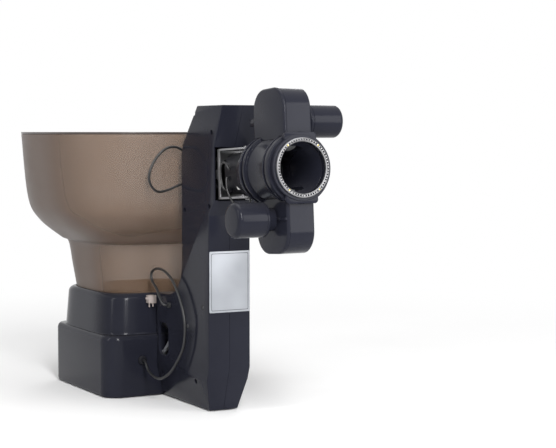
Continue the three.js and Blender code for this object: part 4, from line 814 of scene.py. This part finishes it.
def columnHalf(side):
    seam, outer = side * column["seam"], side * column["halfWidth"]
    shell = outlined([(seam, y, z) for y, z in columnPoints()])
    pushed(shell, (outer - seam, 0, 0))
    selectAll()
    lean = Vector((side * (column["toeRise"] - column["foot"]), 0,
                   -(column["halfWidth"] - column["toeHalfWidth"]))).normalized()
    bpy.ops.mesh.bisect(plane_co=Vector((outer, 0, column["toeRise"])) * mm, plane_no=lean, use_fill=True,
                        clear_outer=True, threshold=near / 2)
    faceOut()
    # Every outer crease gets a small round; the seam's own edges stay sharp
    roundEdges(shell, column["round"], column["creaseSteps"],
               lambda line: line.calc_face_angle(0) > math.radians(column["creaseAngle"])
               and min(abs(vert.co.x) for vert in line.verts) > column["creaseOut"] * mm)
    leaveEdit()
    return shell


def opened(shell, *tests):
    # Takes off the faces that the moulding leaves open, then gives it its wall
    flat, (low, high) = column["flat"], column["window"]
    seamSide = lambda face: abs(face.normal.x) > flat and abs(middle(face).x) < column["seamReach"] * mm
    frontWindow = lambda face: face.normal.y < -flat and low * mm < middle(face).z < high * mm
    rearEnd = lambda face: face.normal.y > flat and middle(face).y > column["openRear"] * mm
    edit(shell)
    for test in (seamSide, frontWindow, rearEnd, *tests):
        pick(shell, "faces", test)
        bpy.ops.mesh.delete(type="FACE")
    leaveEdit()
    return walled(shell, column["wall"])


left = opened(columnHalf(1))
standIn(left, "column_shell_left", "root", "shell")

right = columnHalf(-1)
sideFace, outside, depth = -column["halfWidth"], column["outside"], column["pocket"]
pocketFace, rearPocket = sideFace + depth, column["rearWall"] - depth
cutters = [turnedAcross(rod(column["recess"], outside, sideFace + column[sink]), y, z, flats["hole"])
           for places, sink in (("screws", "recessDepth"), ("lugScrews", "lugDepth")) for y, z in column[places]]
y0, y1, z0, z1, corner = column["port"]
port = outlined([(outside, y0, z0), (outside, y1, z0), (outside, y1, z1), (outside, y0, z1)])
roundCorners(port, corner)
pushed(port, (pocketFace - outside, 0, 0))
leaveEdit()
cutters.append(port)
rearBush = rod(column["bushHole"], column["behind"], -rearPocket)
cutters += [turnedForward(rearBush, x, z, flats["pin"]) for x, z in column["bushes"]]
cutters.append(turnedAcross(rod(column["bushHole"], outside, pocketFace), *column["sideBush"], flats["pin"]))
cutWith(right, merged(cutters))


def pocketFloor(face):
    # The floors of the port, of the side bush's hole and of the rear bushes' holes
    spot, low = middle(face), column["window"][0]
    if abs(face.normal.x) > column["flat"] and abs(spot.x - pocketFace * mm) < column["pocketNear"]:
        return True
    return (abs(face.normal.y) > column["flat"] and abs(spot.y - rearPocket * mm) < column["pocketNear"]
            and abs(spot.x) < column["bushSpan"] * mm and spot.z > low * mm)


opened(right, pocketFloor)
standIn(right, "column_shell_right", "root", "shell")
print("column made")


# Label plate, bare, with a fine border line

label = {
    "low": (-24.9, 112), "high": (24.9, 179.5), "back": -15, "face": -15.8, "corner": 1.5, "round": 0.25,
    "borderIn": 2.2, "borderWidth": 0.5, "borderProud": 0.06, "borderSunk": 0.05, "borderCut": 2,
}


def plateAt(low, high, corner, start, end, steps=6):
    # A rounded plate in x and z, from one place along Y to another
    piece = outlined([(low[0], start, low[1]), (high[0], start, low[1]), (high[0], start, high[1]),
                      (low[0], start, high[1])])
    roundCorners(piece, corner, steps)
    pushed(piece, (0, end - start, 0))
    leaveEdit()
    return piece


plate = plateAt(label["low"], label["high"], label["corner"], label["back"], label["face"])
bevelled(plate, label["round"])
standIn(plate, "label_plate", "root", "label")


def borderPlate(inset, behind, proud):
    return plateAt([value + inset for value in label["low"]], [value - inset for value in label["high"]],
                   label["corner"], label["face"] + behind, label["face"] - proud)


border = borderPlate(label["borderIn"], label["borderSunk"], label["borderProud"])
cutWith(border, borderPlate(label["borderIn"] + label["borderWidth"], label["borderCut"], label["borderCut"]))
finishPiece(border, "labelBorder", "root", "ink")


# Screws

screw = {
    "radius": 2.45, "height": 1.5, "crown": 0.5, "slot": 0.62, "slotReach": 1.5, "slotDepth": 0.9, "sunk": 0.02,
    "slotTop": 4, "crownTurns": (0, 0.35, 0.7, 1.05, 1.4),
    "basePlaces": [(64, 276), (-64, 276), (-64, 148), (64, 148)], "baseHeight": 3.08,
}


def screwHead():
    # A cross-recessed pan head on z = 0, facing up
    crown = [(screw["radius"] * math.cos(turn), screw["height"] - screw["crown"] + screw["crown"] * math.sin(turn))
             for turn in screw["crownTurns"]]
    head = turned([(0, 0), (screw["radius"], 0), *crown, (0, screw["height"])], flats["hole"])
    reach, half, foot = screw["slotReach"], screw["slot"] / 2, screw["height"] - screw["slotDepth"]
    cross, bar = (blockAt((-x, -y, foot), (x, y, screw["slotTop"])) for x, y in ((reach, half), (half, reach)))
    return cutWith(head, cutWith(cross, bar, "UNION"))


screwModel = screwHead()


def screwRow(name, spots, facing, firstTurn, turnStep):
    # Copies of the screw, each turned a little further, as a hand leaves them
    aim = Vector(facing).to_track_quat("Z", "Y").to_matrix().to_4x4()
    for index, spot in enumerate(spots):
        copy = placed(f"{name}{index + 1}", screwModel.data.copy())
        settle(copy, moved(spot) @ aim @ spun(firstTurn + turnStep * index, "Z"))
        finishPiece(copy, copy.name, "root", "steelDark")


recessFoot, lugFoot = (sideFace + column[sink] - screw["sunk"] for sink in ("recessDepth", "lugDepth"))
screwRow("columnScrew", [(recessFoot, y, z) for y, z in column["screws"]], (-1, 0, 0), 20, 47)
screwRow("ductScrew", [(lugFoot, y, z) for y, z in column["lugScrews"]], (-1, 0, 0), 50, 61)
screwRow("baseScrew", [(x, y, screw["baseHeight"]) for x, y in screw["basePlaces"]], (0, 0, -1), 15, 33)
print("label and screws made")


# Tilt bracket and its pins: the folded plate keeps the CAD's form, with its edges broken

polished("tilt_bracket", "tilt_frame", "steel", width=0.25, angle=50)
for node in ("upper_swing_pin", "lower_swing_pin"):
    polished(node, "tilt_frame", "steel", width=0.2, smooth=40)


# Hub that swings in the bracket

hub = {
    "profile": [(21, 5), (22.6, 5), (22.6, 34), (24.6, 34), (24.6, 51), (26.8, 51), (26.8, 54), (22.6, 54),
                (22.6, 66), (21, 66)],
    "round": 0.35, "pin": 28, "rear": 40, "swing": (25.2, -45, 45), "boss": 5.6, "bossFoot": 21.6,
    "bossTop": 24.6, "pinHole": (2.8, -30, 30), "bore": (21, 0, 80), "gland": 2.0,
    "glands": [((-19.6, -19.5, -17.5), (-15.6, -19.5, -17.5)), ((-23.2, -31.5, 4.7), (-19.2, -31.5, 4.7)),
               ((-23.2, -26, -5), (-19.2, -26, -5)), ((-8, -45.5, -26.9), (-8, -45.5, -22.9))],
}


def rodBetween(start, end, radius, steps):
    start, end = Vector(start), Vector(end)
    piece = turned(rod(radius, 0, (end - start).length), steps)
    aim = (end - start).to_track_quat("Z", "Y").to_matrix().to_4x4()
    return settle(piece, moved(start) @ aim)


hubBody = turnedForward(hub["profile"])
bevelled(hubBody, hub["round"])
pin, reach = -hub["pin"], hub["rear"]
rearBlock = blockAt((-reach, pin, -reach), (reach, 0, reach))
cutWith(hubBody, cutWith(rearBlock, turnedUpright(rod(*hub["swing"]), pin)))
bosses = [rodBetween((0, pin, side * hub["bossFoot"]), (0, pin, side * hub["bossTop"]), hub["boss"], flats["bore"])
          for side in (1, -1)]
cutWith(hubBody, merged(bosses), "UNION")
stubs = [rodBetween(start, end, hub["gland"], flats["pin"]) for start, end in hub["glands"]]
cutWith(hubBody, merged(stubs), "UNION")
bore = turnedForward(rod(*hub["bore"]))
cutWith(hubBody, merged([bore, turnedUpright(rod(*hub["pinHole"]), pin, flats["pin"])]))
standIn(hubBody, "hub_tube", "swing_hub", "satin")

# A flat white triangle on the hub: a painted highlight standing in for a small glint there
hubGlint = {"spot": (-18.25, -38, -16.6), "lean": (16.6, 18.2), "tip": 2.6, "foot": -1.82, "thickness": 0.6}
triangle = outlined([(0, 0, hubGlint["tip"]), (0, -hubGlint["tip"], hubGlint["foot"]), (0, hubGlint["tip"], hubGlint["foot"])])
pushed(triangle, (hubGlint["thickness"], 0, 0))
leaveEdit()
leaning = Matrix.Rotation(-math.atan2(*hubGlint["lean"]), 4, "Y")
settle(triangle, moved(hubGlint["spot"]) @ leaning)
finishPiece(triangle, "hubPaintedGlint", "swing_hub", "paint", 0)
print("bracket and hub made")


# Head drum

drum = {
    "profile": [
        (28, 54.4), (28, 67.5), (34, 73.5), (34, 75.5), (37, 75.5), (37, 79.5), (33, 79.5), (33, 84), (37, 84),
        (37, 88), (34, 88), (34, 124.5), (36.2, 124.5), (36.2, 127.1), (33, 127.1), (33, 130.1), (36.2, 130.1),
        (36.2, 138),
    ],
    "bore": [(26.3, 138), (21, 124.5), (21, 66.4), (23, 66.4), (23, 54.4)],
    "round": 0.45, "roundSteps": 3, "wheelReach": 105, "slotHalf": 10, "slotReach": 24, "slotFrom": 15, "slotTo": 38,
}
drumBody = turnedForward(drum["profile"] + drum["bore"], steps=flats["drum"])
bevelled(drumBody, drum["round"], drum["roundSteps"])
slotTools = []
for side in (1, -1):
    low, high = sorted((side * drum["slotFrom"], side * drum["slotTo"]))
    slotTools.append(blockAt((-drum["slotHalf"], -drum["wheelReach"] - drum["slotReach"], low),
                             (drum["slotHalf"], -drum["wheelReach"] + drum["slotReach"], high)))
cutWith(drumBody, merged(slotTools))
standIn(drumBody, "head_drum", "roll_head", "shell")
print("drum made")


# Muzzle plate and its collar, with the dial ring

muzzle = {
    "halfWidth": 18.5, "halfHeight": 36, "corner": 4, "back": 138.3, "thickness": 4, "chamfer": 0.6,
    "cornerSteps": 10,
    "collar": [(26.3, 138.3), (33.4, 138.3), (33.4, 143.1), (32.8, 143.7), (26.3, 143.7)],
    "hole": (29, 130, 150),
}
halfWidth, halfHeight, back = muzzle["halfWidth"], muzzle["halfHeight"], muzzle["back"]
face = plateAt((-halfWidth, -halfHeight), (halfWidth, halfHeight), muzzle["corner"], -back,
               -back - muzzle["thickness"], muzzle["cornerSteps"])
bevelled(face, muzzle["chamfer"])
cutWith(face, turnedForward(rod(*muzzle["hole"])))
cutWith(face, turnedForward(muzzle["collar"], steps=flats["drum"]), "UNION")
standIn(face, "muzzle_plate", "roll_head", "shell")

dial = {
    "profile": [(26.3, 144), (30.1, 144), (30.1, 146.3), (29.2, 147.2), (27.2, 147.2), (26.3, 146.3)],
    "band": (27.25, 29.15), "face": 147.2, "ticks": 60, "every": 5, "tickReach": (27.5, 28.9), "tickHalf": 0.24,
    "numberRadius": 28.2, "numberSize": 2.3, "numbers": 12, "numberStep": 3, "proud": 0.05, "sunk": 0.09,
    "dots": (38, 142, 218, 322), "dotSize": (0.55, 0.8), "bandDepth": 0.15, "bandProud": 0.04,
}
ringBody = turnedForward(dial["profile"], steps=flats["drum"])
standIn(ringBody, "dial_ring", "roll_head", "dial")
inner, outer = dial["band"]
band = turnedForward(ring(inner, outer, dial["face"] - dial["bandDepth"], dial["face"] + dial["bandProud"]),
                     steps=flats["drum"])
finishPiece(band, "dialBand", "roll_head", "satin")


def dialBar(angle, half, reach):
    bar = blockAt((-half, -dial["face"] - dial["sunk"], reach[0]), (half, -dial["face"], reach[1]))
    return settle(bar, spun(angle, "Y"))


ticks = [dialBar(index * 360 / dial["ticks"], dial["tickHalf"], dial["tickReach"])
         for index in range(dial["ticks"]) if index % dial["every"]]
finishPiece(merged(ticks), "dialTicks", "roll_head", "silver", 0)
middleReach = (inner + outer) / 2
dots = [dialBar(angle, dial["dotSize"][0], (middleReach - dial["dotSize"][1], middleReach + dial["dotSize"][1]))
        for angle in dial["dots"]]
finishPiece(merged(dots), "dialDots", "roll_head", "amber", 0)


def dialNumber(index):
    # A raised figure of the roll scale, standing upright at its own angle
    bpy.ops.object.text_add(location=(0, 0, 0))
    figure = bpy.context.object
    figure.data.body = str(min(index, dial["numbers"] - index) * dial["numberStep"])
    figure.data.size = dial["numberSize"] * mm
    figure.data.align_x = "CENTER"
    figure.data.align_y = "CENTER"
    figure.data.extrude = dial["proud"] * mm
    bpy.ops.object.convert(target="MESH")
    figure = bpy.context.object
    spot = moved((0, -dial["face"] - dial["proud"], dial["numberRadius"]))
    return settle(figure, spun(index * 360 / dial["numbers"], "Y") @ spot @ spun(90, "X"))


numbers = [dialNumber(index) for index in range(dial["numbers"])]
finishPiece(merged(numbers), "dialNumbers", "roll_head", "silver", 0)
print("muzzle and dial made")


# Wheel housings, covers and motor covers

wheelBox = {
    "reach": 105, "lift": {1: 49.5, -1: -50.8}, "halfLength": 33, "halfWidth": 15.8, "cover": 12.8,
    "top": {1: 83, -1: 86.2}, "foot": 24, "corner": 23, "wall": 2, "seam": 0.3, "edge": 2.6, "round": 1.7,
    "hollowFoot": 20, "hollowStart": -30, "cornerSteps": 24, "roundSteps": 3, "edgeSteps": 5,
    "sharp": 60, "outerFrom": 13, "clearOf": 30, "neckHole": (10.8, 8, 20),
    "lug": ((-12.5, -73.5, 47), (-3.2, -58, 55)), "lugRound": 0.8, "lugSteps": 3,
    "ledge": ((-17.3, -136.9, -1.5), (-14.7, -118.2, 1.5)), "ledgeRound": 0.5,
}
wheelSides = (("upper", 1), ("lower", -1))
# The drum's outline with a gap of 0.3 round it
drumSleeve = [
    (0, 54.1), (28.3, 54.1), (28.3, 67.2), (34.3, 73.2), (34.3, 75.2), (37.3, 75.2), (37.3, 88.3), (34.3, 88.3),
    (34.3, 124.2), (36.5, 124.2), (36.5, 138.3), (0, 138.3),
]


def wheelBlock(side, start, end, inset=0.0):
    # The housing's rounded outline over or under the drum, pulled along X
    rear, front = wheelBox["halfLength"] - wheelBox["reach"], -wheelBox["halfLength"] - wheelBox["reach"]
    foot, top = side * wheelBox["hollowFoot" if inset else "foot"], side * (wheelBox["top"][side] - inset)
    piece = outlined([(start, front + inset, foot), (start, rear - inset, foot), (start, rear - inset, top),
                      (start, front + inset, top)])
    roundCorners(piece, wheelBox["corner"] - inset, wheelBox["cornerSteps"],
                 lambda vert: abs(vert.co.z - top * mm) < near)
    pushed(piece, (end - start, 0, 0))
    leaveEdit()
    return piece


def outerRound(piece, side, radius, steps):
    # Rounds the long sharp edge of the face that looks to the given side, clear of the drum
    edit(piece)
    roundEdges(piece, radius, steps, lambda line: line.calc_face_angle(0) > math.radians(wheelBox["sharp"])
               and min(side * vert.co.x for vert in line.verts) > wheelBox["outerFrom"] * mm
               and abs(middle(line).z) > wheelBox["clearOf"] * mm)
    leaveEdit()


def aroundAxle(profile, side, steps=flats["ring"]):
    return turnedAcross(profile, -wheelBox["reach"], wheelBox["lift"][side], steps)


def neckHole(side):
    radius, start, end = wheelBox["neckHole"]
    return aroundAxle(rod(radius, *sorted((side * start, side * end))), side, flats["bore"])


def wheelPieces(level, side):
    inner, outer = wheelBox["cover"], wheelBox["halfWidth"]
    wall = wheelBox["wall"]
    box = wheelBlock(side, wheelBox["seam"] - inner, outer)
    outerRound(box, 1, wheelBox["round"], wheelBox["roundSteps"])
    cutWith(box, wheelBlock(side, wheelBox["hollowStart"], outer - wall, wall))
    cutWith(box, turnedForward(drumSleeve, steps=flats["drum"]))
    if side > 0:
        cutWith(box, neckHole(side))
        cutWith(box, bevelled(blockAt(*wheelBox["lug"]), wheelBox["lugRound"], wheelBox["lugSteps"]), "UNION")
    standIn(box, level + "_wheel_housing", "roll_head", "shell")

    lid = wheelBlock(side, -outer, -inner)
    outerRound(lid, -1, wheelBox["edge"], wheelBox["edgeSteps"])
    cutWith(lid, turnedForward(drumSleeve, steps=flats["drum"]))
    if side < 0:
        cutWith(lid, neckHole(side))
        low, high = ((x, y, z + wheelBox["lift"][side]) for x, y, z in wheelBox["ledge"])
        cutWith(lid, bevelled(blockAt(low, high), wheelBox["ledgeRound"]), "UNION")
    standIn(lid, level + "_wheel_cover", "roll_head", "shell")


for level, side in wheelSides:
    wheelPieces(level, side)
print("wheel housings made")

motorCap = {
    "neck": 12, "radius": {1: 17.3, -1: 18}, "start": 16.1, "shoulder": 25.1, "end": {1: 65, -1: 62}, "fillet": 5,
    "wall": 2, "shoulderRound": 2, "grooveAt": 28.8, "groove": 0.35, "steps": 8,
    "shoulderSteps": 4,
}


def motorCup(level, side):
    radius, end = motorCap["radius"][side], motorCap["end"][side]
    neck, start, shoulder, soft, fillet, wall, seam, groove = (motorCap[size] for size in (
        "neck", "start", "shoulder", "shoulderRound", "fillet", "wall", "grooveAt", "groove"))
    profile = [(0, end - wall), (radius - fillet, end - wall), (radius - wall, end - fillet),
               (radius - wall, shoulder + wall), (neck - wall, shoulder + wall), (neck - wall, start),
               (neck, start), (neck, shoulder)]
    profile += [(radius - soft * (1 - sine), shoulder + soft * (1 - cosine))
                for sine, cosine in quarter(motorCap["shoulderSteps"])]
    profile += [(radius, seam), (radius - groove, seam + groove), (radius, seam + 2 * groove)]
    profile += [(radius - fillet * (1 - cosine), end - fillet * (1 - sine))
                for sine, cosine in quarter(motorCap["steps"])]
    profile.append((0, end))
    cup = swung(turned(profile), (0, 90 * side, 0), (0, -wheelBox["reach"], wheelBox["lift"][side]))
    standIn(cup, level + "_motor_cover", "roll_head", "shell")


for level, side in wheelSides:
    motorCup(level, side)
print("motor covers made")


# Tyres with a grooved grip

wheel = {
    "half": 8, "tyreInner": 25.4, "tyreOuter": 30.6, "round": 1.6, "grooves": (-4, 0, 4), "groove": 0.5,
    "roundSteps": 4,
}


def tyreProfile():
    half, outer, soft, depth = wheel["half"], wheel["tyreOuter"], wheel["round"], wheel["groove"]
    turns = quarter(wheel["roundSteps"])
    profile = [(wheel["tyreInner"], -half)]
    profile += [(outer - soft * (1 - sine), -half + soft * (1 - cosine)) for sine, cosine in turns]
    for place in wheel["grooves"]:
        profile += [(outer, place - depth), (outer - depth, place), (outer, place + depth)]
    profile += [(outer - soft * (1 - cosine), half - soft * (1 - sine)) for sine, cosine in turns]
    return profile + [(wheel["tyreInner"], half)]


for level, side in wheelSides:
    standIn(aroundAxle(tyreProfile(), side), level + "_tyre", level + "_spinner", "tyre")
print("tyres made")


# Small fittings that keep the CAD's form, with their edges broken

polished("connector_block", "root", "ivory", width=0.3)
polished("cable_clip", "root", "inner", width=0.4)
polished("switch_bezel", "root", "satin", width=0.25, angle=50)
polished("power_switch", "switch_rocker", "satin", width=0.3, name="rockerSwitch")
polished("control_socket", "root", "satin", width=0.25, angle=50)

# The other nodes keep the CAD's mesh and get a finish
carried = {
    "inner": ["feed_duct", "riser_tube", "base_plate", "feed_funnel"],
    "rubber": ["base_foot", "upper_bush_in", "upper_bush_out", "lower_bush", "toe_pad"],
    "satin": ["agitator", "power_inlet", "lead_socket", "upper_wheel", "lower_wheel"],
    "steel": ["feed_shaft", "feed_gearbox", "feed_motor", "board_heatsink", "tilt_pin_right", "tilt_pin_left",
              "upper_motor", "lower_motor", "upper_axle", "lower_axle"],
    "board": ["control_board"],
    "sleeve": ["port_plug"],
}
for finish, nodes in carried.items():
    for node in nodes:
        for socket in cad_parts[node].material_slots:
            socket.material = finishes[finish]
print("finishes given to the carried nodes")
bpy.data.objects.remove(screwModel)
